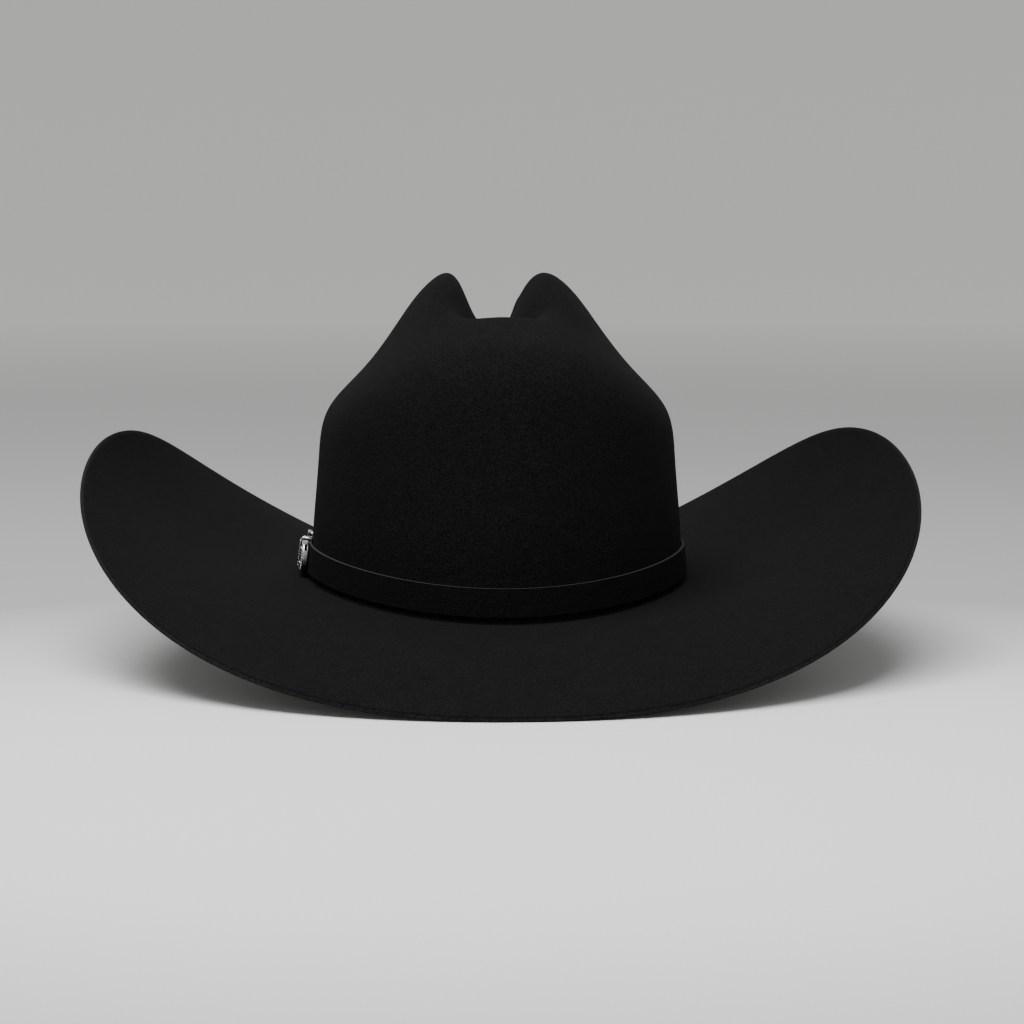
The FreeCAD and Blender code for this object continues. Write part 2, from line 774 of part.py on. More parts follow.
def buckle_placement():
    """At the bar, tilted so that the far rim stands over the strap."""
    placed = side_placement(SIZES["bar_back"], SIZES["bar_offset"])
    tilt = FreeCAD.Rotation(Vector(0, 0, 1), SIZES["frame_tilt"])
    return placed.multiply(FreeCAD.Placement(Vector(0, 0, 0), tilt))


def make_buckle_frame():
    """A U-shaped cast plate: two rails with an eye for the bar, and a wide far rim."""
    body = new_body("buckle_frame")
    sketch = new_sketch(body, "frame_outline", "YZ_Plane")
    outer_half = "(Sizes.frame_window_height / 2 + Sizes.frame_rail)"
    add_rectangle(
        sketch, "-Sizes.frame_reach", "Sizes.eye_back", f"-{outer_half}", outer_half, "outer_"
    )
    add_pad(body, sketch, "frame_plate", "Sizes.frame_thickness")
    window = new_sketch(body, "frame_window", "YZ_Plane")
    add_rectangle(
        window, "-(Sizes.frame_reach - Sizes.frame_rim)", "Sizes.eye_back + 1",
        "-Sizes.frame_window_height / 2", "Sizes.frame_window_height / 2", "window_",
    )
    add_pocket(body, window, "frame_opening", "Sizes.frame_thickness * 2")
    doc.recompute()
    bore = new_sketch(body, "bar_bore_outline", "XY_Plane")
    bore.addGeometry(Part.Circle(Vector(0, 0, 0), Vector(0, 0, 1), 1.0), False)
    bore.addConstraint(Sketcher.Constraint("Coincident", 0, 3, -1, 1))
    radius = bore.addConstraint(Sketcher.Constraint("Radius", 0, 1.0))
    bore.renameConstraint(radius, "bore_radius")
    bore.setExpression("Constraints.bore_radius", "Sizes.bar_radius + Sizes.bore_gap")
    add_pocket(body, bore, "bar_bore", "Sizes.frame_window_height * 2")
    doc.recompute()
    far = -SIZES["frame_reach"] + 0.1
    plate = body.Tip
    corners = edges_along_x(plate.Shape, lambda point: point.y < far)
    rounding = body.newObject("PartDesign::Fillet", "far_corners")
    rounding.Base = (plate, corners)
    rounding.Radius = SIZES["frame_corner"]
    body.Placement = buckle_placement()


def make_buckle_bar():
    bar = doc.addObject("Part::Cylinder", "buckle_bar")
    bar.Label = "buckle_bar"
    bar.setExpression("Radius", "Sizes.bar_radius")
    bar.setExpression("Height", "Sizes.frame_window_height + Sizes.frame_rail * 2 - 0.4")
    length = SIZES["frame_window_height"] + SIZES["frame_rail"] * 2 - 0.4
    down = FreeCAD.Placement(Vector(0, 0, -length / 2), FreeCAD.Rotation())
    bar.Placement = buckle_placement().multiply(down)


def make_prong():
    """An eye round the bar and a flat tongue that lies on the far rim."""
    width, thick = SIZES["prong_width"], SIZES["prong_thickness"]
    eye = Part.makeCylinder(SIZES["prong_eye_radius"], width, Vector(0, 0, -width / 2))
    hole = Part.makeCylinder(SIZES["bar_radius"] + SIZES["prong_gap"], width * 2, Vector(0, 0, -width))
    rest = SIZES["frame_thickness"] / 2 + SIZES["prong_rest_gap"]
    tip = -(SIZES["frame_reach"] + 0.2)
    outline = [
        Vector(0.35, -0.5, 0), Vector(rest, -10.0, 0), Vector(rest, tip, 0),
        Vector(rest + thick * 0.6, tip, 0), Vector(rest + thick, tip + 1.2, 0),
        Vector(rest + thick, -9.6, 0), Vector(1.15, 0.2, 0),
    ]
    face = Part.Face(Part.makePolygon(outline + outline[:1]))
    tongue = face.extrude(Vector(0, 0, width))
    tongue.translate(Vector(0, 0, -width / 2))
    feature("buckle_prong", eye.fuse(tongue).cut(hole).removeSplitter(), buckle_placement())


def make_keeper():
    """A closed metal loop over both laps of the strap."""
    body = new_body("keeper_loop")
    outline = new_sketch(body, "keeper_outline", "XY_Plane")
    outer_half = "(Sizes.keeper_width / 2)"
    add_rectangle(
        outline, "0", "Sizes.keeper_back_wall + Sizes.keeper_inner_depth + Sizes.keeper_wall",
        f"-{outer_half}", outer_half, "outer_",
    )
    add_pad(body, outline, "keeper_block", "Sizes.keeper_inner_height + Sizes.keeper_wall * 2")
    window = new_sketch(body, "keeper_window", "XZ_Plane")
    add_rectangle(
        window, "Sizes.keeper_back_wall", "Sizes.keeper_back_wall + Sizes.keeper_inner_depth",
        "-Sizes.keeper_inner_height / 2", "Sizes.keeper_inner_height / 2", "window_",
    )
    add_pocket(body, window, "keeper_opening", "Sizes.keeper_width * 2")
    body.Placement = side_placement(SIZES["bar_back"] + SIZES["keeper_place"], SIZES["keeper_offset"])


def tip_placement():
    middle = SIZES["bar_back"] + SIZES["tip_start"] + SIZES["tip_length"] / 2
    return side_placement(middle, LAP[-1][1])


def make_tip():
    """A metal cap over the strap's end: a block with a pocket for the felt."""
    body = new_body("strap_tip")
    outline = new_sketch(body, "tip_outline", "YZ_Plane")
    add_rectangle(
        outline, "-Sizes.tip_length / 2", "Sizes.tip_length / 2",
        "-Sizes.tip_height / 2", "Sizes.tip_height / 2", "outer_",
    )
    add_pad(body, outline, "tip_block", "Sizes.tip_thickness")
    pocket = new_sketch(body, "tip_mouth", "YZ_Plane")
    add_rectangle(
        pocket, "-Sizes.tip_length", "Sizes.tip_length / 2 - Sizes.tip_end_wall",
        "-(Sizes.strap_height / 2 + 0.2)", "Sizes.strap_height / 2 + 0.2", "mouth_",
    )
    add_pocket(body, pocket, "tip_slot", "Sizes.tip_pocket")
    doc.recompute()
    far = SIZES["tip_length"] / 2 - 0.1
    cap = body.Tip
    corners = edges_along_x(cap.Shape, lambda point: point.y > far)
    rounding = body.newObject("PartDesign::Chamfer", "pointed_end")
    rounding.Base = (cap, corners)
    rounding.Size = SIZES["tip_corner"]
    body.Placement = tip_placement()


def make_tip_rivets():
    rivets = []
    for side in (-1, 1):
        height = side * SIZES["rivet_spacing"] / 2
        start = Vector(SIZES["tip_thickness"] / 2 + 0.02, -SIZES["rivet_back"], height)
        finish = start + Vector(SIZES["rivet_height"], 0, 0)
        rivets.append(small_rod(start, finish, SIZES["rivet_radius"]))
    feature("tip_rivets", Part.makeCompound(rivets), tip_placement())


# place along the band from the bar, and distance out from the wall
FOLD_STITCHES = ((5.0, 3.9), (8.0, 3.4))


def make_fold_stitches():
    """Thread that holds the folded end, above and below the lap's middle."""
    rods = []
    for side in (-1, 1):
        height = side * SIZES["fold_stitch_spacing"] / 2
        for along, out in FOLD_STITCHES:
            start = Vector(out + 0.15, along - 1, height)
            finish = Vector(out - 0.15, along + 1, height)
            rods.append(small_rod(start, finish, SIZES["fold_stitch_radius"]))
    feature("fold_stitches", Part.makeCompound(rods), side_placement(SIZES["bar_back"], 0.0))


make_felt_body()
make_lining()
make_sweatband()
make_reed()
make_sweatband_stitches()
make_patch_and_tag()
make_bow()
make_strap()
make_band_tacks()
make_buckle_frame()
make_buckle_bar()
make_prong()
make_keeper()
make_tip()
make_tip_rivets()
make_fold_stitches()
doc.recompute()

# ---------------------------------------------------------------------------
# Check and export
# ---------------------------------------------------------------------------
PIECE_TYPES = ("Part::Feature", "Part::Box", "Part::Cylinder", "PartDesign::Body")
pieces = [obj for obj in doc.Objects if obj.TypeId in PIECE_TYPES]
problems = [obj.Name for obj in doc.Objects if "Invalid" in obj.State or "Error" in obj.State]
for piece in pieces:
    if piece.Shape.isNull() or not piece.Shape.isValid() or piece.Shape.Volume <= 0:
        problems.append(piece.Label)
if problems:
    raise RuntimeError(f"these did not build: {problems}")
os.makedirs("parts", exist_ok=True)
for piece in pieces:
    piece.Shape.exportStep(os.path.join("parts", piece.Label + ".step"))
    box = piece.Shape.optimalBoundingBox(False)
    print(
        f"{piece.Label:22s} volume {piece.Shape.Volume:10.1f} mm3  "
        f"x {box.XMin:7.1f} {box.XMax:7.1f}  y {box.YMin:7.1f} {box.YMax:7.1f}  "
        f"z {box.ZMin:6.1f} {box.ZMax:6.1f}"
    )
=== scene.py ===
# %% [markdown]
# # A felt cowboy hat
#
# The hat is one skin of black fur felt that a hatter has blocked, creased and curled.
# Round the crown runs a strap of the same felt with a three-piece silver buckle set,
# and inside are a satin lining, a leather sweatband, a plastic reed and a small bow.
# The engineering model gives every place and size, so we start from it.

# %% Load the fixed frame
import json
import math

import bmesh
import bpy
import numpy as np
from mathutils import Matrix, Vector


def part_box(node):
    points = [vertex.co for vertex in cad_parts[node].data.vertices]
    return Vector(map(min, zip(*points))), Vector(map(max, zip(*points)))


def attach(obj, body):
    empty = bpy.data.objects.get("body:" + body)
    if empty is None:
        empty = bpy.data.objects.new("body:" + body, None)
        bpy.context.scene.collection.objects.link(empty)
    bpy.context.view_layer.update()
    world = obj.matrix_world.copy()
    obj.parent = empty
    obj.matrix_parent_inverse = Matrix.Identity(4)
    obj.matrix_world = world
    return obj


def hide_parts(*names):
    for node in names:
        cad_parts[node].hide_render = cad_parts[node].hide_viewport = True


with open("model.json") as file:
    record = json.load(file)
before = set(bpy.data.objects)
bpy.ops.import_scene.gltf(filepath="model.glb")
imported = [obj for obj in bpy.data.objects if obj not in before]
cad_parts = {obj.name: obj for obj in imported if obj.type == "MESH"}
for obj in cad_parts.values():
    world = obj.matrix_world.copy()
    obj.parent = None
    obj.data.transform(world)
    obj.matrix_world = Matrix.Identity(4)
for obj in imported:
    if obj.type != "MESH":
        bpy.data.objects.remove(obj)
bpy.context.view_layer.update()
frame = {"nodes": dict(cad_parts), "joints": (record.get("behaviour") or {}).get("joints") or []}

MM = 0.001

# %% [markdown]
# ## The measures of the felt
#
# A hatter thinks of a hat as an oval with a crown above it and a brim around it.
# These are the same driving sizes as in the engineering model, in millimetres and degrees.
# One surface formula then serves the felt, the lining and the sweatband,
# because each of them is a skin that lies at its own depth under the outer face.

# %% Sizes of the oval, the brim and the crease
OVAL_HALF_WIDTH, OVAL_HALF_LENGTH = 86.0, 105.5
JUNCTION_HEIGHT, JUNCTION_RISE = 24.0, 8.4
BRIM_WIDTH_SIDE, BRIM_WIDTH_END = 117.2, 108.5
BRIM_TRIM_REAR, BRIM_TRIM_FRONT = 1.9, 5.5
SIDE_SLOPES = (4.05, 73.2)
END_SLOPES = (-3.0, -22.0)
CURL_POWER = 1.16
ROLL_FORWARD = 14.4
ROLL_POWER, ROLL_POWER_REAR_GAIN = 1.95, 0.465
CREASE_DEPTH_FRONT, CREASE_DEPTH = 20.0, 34.0
CREASE_HALF_FRONT, CREASE_HALF_REAR, CREASE_POWER = 10.2, 21.5, 2.96
CREASE_REAR_END, CREASE_FADE = 41.3, 6.5
CREASE_WIDENING_START, CREASE_WIDENING_LENGTH = -60.0, 110.0
CREASE_STEP_PLACE, CREASE_STEP_FADE = -66.0, 5.0
CREASE_WALL_HEIGHT, CREASE_WALL_BLEND = 84.0, 38.0
JUNCTION_BLEND = 60.0
DENT_SHARE, DENT_FORWARD, DENT_LENGTH = 0.16, 48.0, 32.0
DENT_HEIGHT, DENT_TALL = 106.0, 24.0
FELT_THICKNESS = 2.2
SMALL_STEP = 1e-3

SIDE_PROFILE = [
    (1.0, 0.0), (0.970, 9.0), (0.976, 24.0), (0.962, 40.0), (0.938, 64.0), (0.928, 86.0),
    (0.702, 102.5), (0.513, 125.3), (0.347, 145.4), (0.12, 154.5), (0.0, 154.5),
]
REAR_PROFILE = [
    (1.0, 0.0), (0.975, 9.0), (0.985, 24.0), (0.985, 40.0), (0.965, 80.0), (0.950, 104.0),
    (0.845, 119.3), (0.600, 125.3), (0.400, 141.4), (0.12, 154.5), (0.0, 154.5),
]
FRONT_PROFILE = [
    (1.0, 0.0), (0.975, 9.0), (0.985, 24.0), (0.985, 40.0), (0.965, 80.0), (0.930, 109.5),
    (0.795, 128.8), (0.550, 138.8), (0.360, 148.1), (0.12, 154.5), (0.0, 154.5),
]
print("oval round, mm:", round(math.pi * (OVAL_HALF_WIDTH + OVAL_HALF_LENGTH)))

# %% [markdown]
# ## A smooth profile from a few control points
#
# A half profile says how far the crown leans in at each height.
# A clamped cubic B-spline turns eleven control points into one smooth line.
# Blender has spline curves of its own, but here we want points at exact shares of the way,
# so we add up the spline's basis functions ourselves.


# %% Sample a clamped cubic spline
def spline_points(controls, steps, degree=3):
    """Points of a clamped uniform B-spline at steps between 0 and 1."""
    controls = np.array(controls, float)
    steps = np.clip(np.asarray(steps, float), 0.0, 1.0 - 1e-9)
    inner = np.linspace(0, 1, len(controls) - degree + 1)
    knots = np.concatenate([[0.0] * degree, inner, [1.0] * degree])
    basis = [((steps >= a) & (steps < b)).astype(float) for a, b in zip(knots[:-1], knots[1:])]
    for d in range(1, degree + 1):
        raised = []
        for i in range(len(basis) - 1):
            total = np.zeros_like(steps)
            if knots[i + d] > knots[i]:
                total = total + (steps - knots[i]) / (knots[i + d] - knots[i]) * basis[i]
            if knots[i + d + 1] > knots[i + 1]:
                span = knots[i + d + 1] - knots[i + 1]
                total = total + (knots[i + d + 1] - steps) / span * basis[i + 1]
            raised.append(total)
        basis = raised
    return sum(b[..., None] * c for b, c in zip(basis, controls))


def place_at_height(height):
    """The place on the side profile that is this many millimetres above the junction."""
    steps = np.linspace(0, 0.6, 2401)
    return float(np.interp(height, spline_points(SIDE_PROFILE, steps)[:, 1], steps))


print("crown height, mm:", round(float(spline_points(SIDE_PROFILE, [1.0])[0][1]), 1))


# %% [markdown]
# ## The shape of the crown
#
# Looked at from above, the crown is an oval that shrinks with height.
# The cattleman crease is a long valley down the middle of its top, and two hand dents
# pinch the sides in near the front. Both are smooth bumps of a formula,
# so the felt has no hard line anywhere, just as blocked felt has none.


# %% Crown, crease and dents
def mix(low, high, share):
    return low + (high - low) * share


def crease_drop(across, along, height):
    """How far the crease lowers the top of the crown."""
    toward_rear = np.clip((along - CREASE_WIDENING_START) / CREASE_WIDENING_LENGTH, 0, 1)
    half = mix(CREASE_HALF_FRONT, CREASE_HALF_REAR, toward_rear)
    deeper = 1 / (1 + np.exp((CREASE_STEP_PLACE - along) / CREASE_STEP_FADE))
    depth = mix(CREASE_DEPTH_FRONT, CREASE_DEPTH, deeper)
    ends = 1 / (1 + np.exp((along - CREASE_REAR_END) / CREASE_FADE))
    above_wall = np.clip((height - CREASE_WALL_HEIGHT) / CREASE_WALL_BLEND, 0, 1)
    above_wall = above_wall**2 * (3 - 2 * above_wall)
    return above_wall * depth * ends * np.exp(-((np.abs(across) / half) ** CREASE_POWER))


def crown_point(angle, step):
    profiles = (SIDE_PROFILE, REAR_PROFILE, FRONT_PROFILE)
    side, rear, front = (spline_points(profile, step) for profile in profiles)
    side_share = np.cos(angle) ** 2
    end = np.where((np.sin(angle) > 0)[..., None], rear, front)
    reach = mix(end[..., 0], side[..., 0], side_share)
    height = mix(end[..., 1], side[..., 1], side_share)
    along = OVAL_HALF_LENGTH * reach * np.sin(angle)
    across = OVAL_HALF_WIDTH * reach * np.cos(angle)
    nearness = ((along + DENT_FORWARD) / DENT_LENGTH) ** 2 + ((height - DENT_HEIGHT) / DENT_TALL) ** 2
    across = across * (1 - DENT_SHARE * np.exp(-nearness))
    lift = JUNCTION_RISE * side_share * np.clip(1 - height / JUNCTION_BLEND, 0, None) ** 2
    top = JUNCTION_HEIGHT + lift + height - crease_drop(across, along, height)
    return np.stack([across, along, top], -1)


# %% [markdown]
# ## The shape of the brim
#
# The brim leaves the crown almost level and curls up at the sides, while its front and back
# dip a little. Felt hardly stretches, so we walk outwards from the crown and only turn the
# slope as we go: the brim then keeps its true width however much it curls.


# %% Brim, and one formula for the whole felt
def roll_share(angle):
    """1 where the brim is rolled up most, 0 at the front and the back."""
    turned = np.arcsin(np.clip(np.sin(angle), -1, 1))
    turned = turned + math.radians(ROLL_FORWARD) * np.abs(np.cos(angle))
    power = ROLL_POWER + ROLL_POWER_REAR_GAIN * np.sin(angle)
    return np.clip(np.cos(turned), 0, None) ** power


def brim_point(angle, out, walk_steps=16):
    normal = np.stack([np.cos(angle) / OVAL_HALF_WIDTH, np.sin(angle) / OVAL_HALF_LENGTH], -1)
    normal = normal / np.linalg.norm(normal, axis=-1, keepdims=True)
    roll = roll_share(angle)
    start, finish = (np.radians(mix(END_SLOPES[k], SIDE_SLOPES[k], roll)) for k in (0, 1))
    trim = np.where(np.sin(angle) > 0, BRIM_TRIM_REAR, BRIM_TRIM_FRONT)
    width = mix(BRIM_WIDTH_END, BRIM_WIDTH_SIDE, np.cos(angle) ** 2) - trim * np.sin(2 * angle) ** 2
    reach, rise = np.zeros_like(width), np.zeros_like(width)
    for k in range(walk_steps):
        slope = mix(start, finish, ((k + 0.5) / walk_steps * out) ** CURL_POWER)
        reach = reach + np.cos(slope) * width * out / walk_steps
        rise = rise + np.sin(slope) * width * out / walk_steps
    height = JUNCTION_HEIGHT + JUNCTION_RISE * np.cos(angle) ** 2 + rise
    across = OVAL_HALF_WIDTH * np.cos(angle) + normal[..., 0] * reach
    along = OVAL_HALF_LENGTH * np.sin(angle) + normal[..., 1] * reach
    return np.stack([across, along, height], -1)


def felt_point(angle, place):
    """place runs from -1 at the brim's edge, through 0 at the junction, to 1 at the crown's top."""
    brim = brim_point(angle, np.clip(-place, 0, 1))
    crown = crown_point(angle, np.clip(place, 0, 1))
    return np.where((place < 0)[..., None], brim, crown)


def skin_point(angle, place, depth):
    """The point at a depth below the felt's outer face, square to it."""
    angle, place, depth = np.broadcast_arrays(angle, place, depth)
    here = felt_point(angle, place)
    around = felt_point(angle + SMALL_STEP, place) - felt_point(angle - SMALL_STEP, place)
    step = np.where(place < -0.5, SMALL_STEP, -SMALL_STEP)
    up = (felt_point(angle, place + step) - here) * np.sign(step)[..., None]
    normal = np.cross(around, up)
    normal = normal / np.linalg.norm(normal, axis=-1, keepdims=True)
    return here - normal * depth[..., None]


spread = brim_point(np.array([0.0, math.pi]), np.array([1.0, 1.0]))
print("brim span, mm:", round(float(spread[0, 0] - spread[1, 0]), 1))

# %% [markdown]
# ## From rows of points to a skin with two faces
#
# Felt, lining and leather are all thin skins that run right round the hat.
# A skin needs an outer face, an inner face and closed edges, and a closed top where it
# reaches the middle of the crown. A Solidify modifier could add the thickness, but then
# the inner face would not know about the crease, so we lay out both faces ourselves.


# %% Build a ring-shaped skin
def make_object(name, verts, faces, materials, face_material=None, smooth=True):
    mesh = bpy.data.meshes.new(name)
    mesh.from_pydata([tuple(v) for v in verts], [], faces)
    for material in materials:
        mesh.materials.append(material)
    if face_material is not None:
        mesh.polygons.foreach_set("material_index", face_material)
    mesh.polygons.foreach_set("use_smooth", [smooth] * len(mesh.polygons))
    mesh.update()
    obj = bpy.data.objects.new(name, mesh)
    bpy.context.scene.collection.objects.link(obj)
    return obj


def ring_skin(name, loops, materials, edge_rows=(), pole_rows=None):
    """loops is (rows, around, 3) in mm; each row joins the next, and the last joins the first.

    pole_rows is (row before the hole, row after it), where the skin closes over the crown."""
    rows, around = loops.shape[:2]
    verts = list(loops.reshape(-1, 3) * MM)
    faces, kinds = [], []
    turn = np.arange(around)
    after = (turn + 1) % around
    for row in range(rows):
        following = (row + 1) % rows
        if pole_rows and (row, following) == tuple(pole_rows):
            continue
        a, b = row * around, following * around
        quads = np.stack([a + turn, a + after, b + after, b + turn], 1).tolist()
        faces += quads
        kinds += [1 if row in edge_rows else 0] * around
    if pole_rows:
        for row, upward in zip(pole_rows, (True, False)):
            verts.append(loops[row].mean(0) * MM)
            pole = len(verts) - 1
            first = row * around
            for k in range(around):
                low, high = first + k, first + (k + 1) % around
                faces.append([low, high, pole] if upward else [high, low, pole])
                kinds.append(0)
    return make_object(name, verts, faces, materials, kinds)


# %% [markdown]
# ## A felt finish
#
# Fur felt is a mat of fine short hairs. It drinks in light, so its colour is nearly black,
# but the hairs catch light at a grazing angle. That is what the shader's sheen is for.
# Fine noise changes the colour from hair to hair, a wider one clouds it slightly,
# and a bump of the same noise gives the short nap.


# %% Tools for finishes
def new_finish(name):
    material = bpy.data.materials.new(name)
    material.use_nodes = True
    tree = material.node_tree
    return material, tree, tree.nodes["Principled BSDF"]


def noise_node(tree, scale, detail=3.0, stretch=None):
    """Noise that is fixed to the piece; stretch squeezes it along an axis, for fibres."""
    coords = tree.nodes.new("ShaderNodeTexCoord")
    source = coords.outputs["Object"]
    if stretch:
        mapping = tree.nodes.new("ShaderNodeMapping")
        mapping.inputs["Scale"].default_value = stretch
        tree.links.new(source, mapping.inputs["Vector"])
        source = mapping.outputs["Vector"]
    noise = tree.nodes.new("ShaderNodeTexNoise")
    noise.inputs["Scale"].default_value = scale
    noise.inputs["Detail"].default_value = detail
    tree.links.new(source, noise.inputs["Vector"])
    return noise.outputs["Fac"]


def ramp_node(tree, value, stops):
    ramp = tree.nodes.new("ShaderNodeValToRGB")
    while len(ramp.color_ramp.elements) < len(stops):
        ramp.color_ramp.elements.new(0.5)
    for element, (position, colour) in zip(ramp.color_ramp.elements, stops):
        element.position = position
        element.color = (*colour, 1.0)
    tree.links.new(value, ramp.inputs["Fac"])
    return ramp.outputs["Color"]


def blend_colours(tree, share, first, second, way="MIX"):
    node = tree.nodes.new("ShaderNodeMix")
    node.data_type = "RGBA"
    node.blend_type = way
    sockets = [node.inputs[0], node.inputs[6], node.inputs[7]]
    for socket, value in zip(sockets, (share, first, second)):
        if isinstance(value, bpy.types.NodeSocket):
            tree.links.new(value, socket)
        elif isinstance(value, (tuple, list)):
            socket.default_value = (*value, 1.0)
        else:
            socket.default_value = value
    return node.outputs[2]


def add_bump(tree, shader, height, distance, strength=1.0, normal=None):
    bump = tree.nodes.new("ShaderNodeBump")
    bump.inputs["Distance"].default_value = distance
    bump.inputs["Strength"].default_value = strength
    tree.links.new(height, bump.inputs["Height"])
    if normal is not None:
        tree.links.new(normal, bump.inputs["Normal"])
    tree.links.new(bump.outputs["Normal"], shader.inputs["Normal"])
    return bump.outputs["Normal"]


def felt_finish(name, dark, light, sheen):
    material, tree, shader = new_finish(name)
    hairs = noise_node(tree, 1300.0, 4.0)
    clouds = noise_node(tree, 45.0, 2.0)
    hair_colour = ramp_node(tree, hairs, [(0.36, dark), (0.66, light)])
    cloud_colour = ramp_node(tree, clouds, [(0.3, (0.86, 0.86, 0.86)), (0.7, (1.0, 1.0, 1.0))])
    colour = blend_colours(tree, 1.0, hair_colour, cloud_colour, "MULTIPLY")
    tree.links.new(colour, shader.inputs["Base Color"])
    shader.inputs["Roughness"].default_value = 0.95
    shader.inputs["Specular IOR Level"].default_value = 0.09
    shader.inputs["Sheen Weight"].default_value = sheen
    shader.inputs["Sheen Roughness"].default_value = 0.5
    shader.inputs["Sheen Tint"].default_value = (0.62, 0.64, 0.68, 1.0)
    nap = add_bump(tree, shader, hairs, 0.0006, 0.7)
    add_bump(tree, shader, noise_node(tree, 420.0, 2.0), 0.0005, 0.3, nap)
    return material


FELT_DARK, FELT_LIGHT = (0.0012, 0.0013, 0.0014), (0.0088, 0.0089, 0.0093)
black_felt = felt_finish("black_fur_felt", FELT_DARK, FELT_LIGHT, 0.006)
cut_felt = felt_finish("cut_felt_edge", (0.004, 0.004, 0.0045), (0.020, 0.020, 0.0215), 0.015)
print("felt finishes made")

# %% [markdown]
# ## The felt body
#
# Crown and brim are one piece of felt, with no seam between them. We take many more rows
# than the engineering model does, a little closer together on the brim near the junction.
# The brim's edge is left raw: a slightly rounded cut, a little paler than the nap.

# %% Felt body
AROUND = 360
BRIM_ROWS, CROWN_ROWS, EDGE_ROWS = 64, 150, 4
angles = np.linspace(0, 2 * np.pi, AROUND, endpoint=False)
crown_top = 0.992
brim_places = -np.linspace(1, 0, BRIM_ROWS, endpoint=False) ** 1.1
places = np.concatenate([brim_places, np.linspace(0, crown_top, CROWN_ROWS)])


def skin_rows(places, depth):
    return skin_point(angles[None, :], np.asarray(places)[:, None], np.asarray(depth, float))


outer_face = skin_rows(places, 0.0)
inner_face = skin_rows(places, FELT_THICKNESS)
edge_out, edge_in = outer_face[0], inner_face[0]
away = outer_face[0] - outer_face[1]
away = away / np.linalg.norm(away, axis=-1, keepdims=True)
cut_rows = []
for k in range(EDGE_ROWS):
    share = (k + 0.5) / EDGE_ROWS
    bulge = 0.3 * math.sin(math.pi * share)
    cut_rows.append(mix(edge_in, edge_out, share) + away * (bulge - 0.15))
loops = np.concatenate([outer_face, inner_face[::-1], np.array(cut_rows)])
row_count = len(places)
cut_indices = range(2 * row_count, 2 * row_count + EDGE_ROWS - 1)
felt_body = ring_skin(
    "blocked_felt", loops, [black_felt, cut_felt], cut_indices, (row_count - 1, row_count)
)
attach(felt_body, "hat")
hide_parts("felt_body")
print("felt body faces:", len(felt_body.data.polygons))

# %% [markdown]
# ## Inside the crown: satin lining
#
# The lining is cut from satin: a long strip for the sides and an oval for the tip, sewn
# together over a thin piping. It is held only at its edges, so the strip falls in shallow
# upright folds. A cloth simulation would give the same in minutes; a small ripple in the
# skin's depth gives it at once, and the folds open out towards the seam.


# %% Satin finish and the two cloth pieces
def cloth_finish(name, dark, light, roughness, sheen, weave_scale, weave_depth):
    material, tree, shader = new_finish(name)
    warp = noise_node(tree, weave_scale, 2.0, (1.0, 1.0, 0.12))
    weft = noise_node(tree, weave_scale, 2.0, (0.12, 0.12, 1.0))
    weave = tree.nodes.new("ShaderNodeMath")
    weave.operation = "MAXIMUM"
    tree.links.new(warp, weave.inputs[0])
    tree.links.new(weft, weave.inputs[1])
    colour = ramp_node(tree, weave.outputs["Value"], [(0.4, dark), (0.75, light)])
    tree.links.new(colour, shader.inputs["Base Color"])
    shader.inputs["Roughness"].default_value = roughness
    shader.inputs["Sheen Weight"].default_value = sheen
    add_bump(tree, shader, weave.outputs["Value"], weave_depth, 0.5)
    return material


satin_tones = ((0.045, 0.045, 0.05), (0.12, 0.12, 0.13))
satin = cloth_finish("lining_satin", *satin_tones, 0.32, 0.2, 1500.0, 0.0002)
LINING_FOOT_HEIGHT = 14.0
LINING_FOOT, LINING_SEAM, SEAM_GAP = place_at_height(LINING_FOOT_HEIGHT), 0.66, 0.004
LINING_DEPTH, TIP_DEPTH, CLOTH_THICKNESS = 2.7, 3.6, 0.4


def satin_skin(name, places, depth, ripple, folds, pole):
    rows = np.asarray(places)[:, None]
    reach = (rows - rows[0]) / (rows[-1] - rows[0])
    wave = 0.5 + 0.5 * np.sin(folds * angles[None, :] + 0.9 * np.sin(5 * angles[None, :]))
    inward = depth + ripple * wave * np.sin(np.pi * np.clip(reach, 0, 1)) ** 0.7
    near = skin_point(angles[None, :], rows, inward)
    far = skin_point(angles[None, :], rows, inward + CLOTH_THICKNESS)
    loops = np.concatenate([near, far[::-1]])
    gap = (len(places) - 1, len(places)) if pole else None
    return ring_skin(name, loops, [satin], (), gap)


side_places = np.linspace(LINING_FOOT, LINING_SEAM - SEAM_GAP, 60)
tip_places = np.linspace(LINING_SEAM + SEAM_GAP, crown_top, 60)
lining_sides = satin_skin("lining_sides_cloth", side_places, LINING_DEPTH, 0.9, 34, False)
lining_tip = satin_skin("lining_tip_cloth", tip_places, TIP_DEPTH, 0.5, 12, True)
for cloth, node in ((lining_sides, "lining_sides"), (lining_tip, "lining_tip")):
    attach(cloth, "hat")
    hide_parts(node)


def cloth_area(obj):
    """The area of one face of a thin closed cloth, in square metres."""
    return sum(p.area for p in obj.data.polygons) / 2


print("lining areas, m2:", round(cloth_area(lining_sides), 4), round(cloth_area(lining_tip), 4))
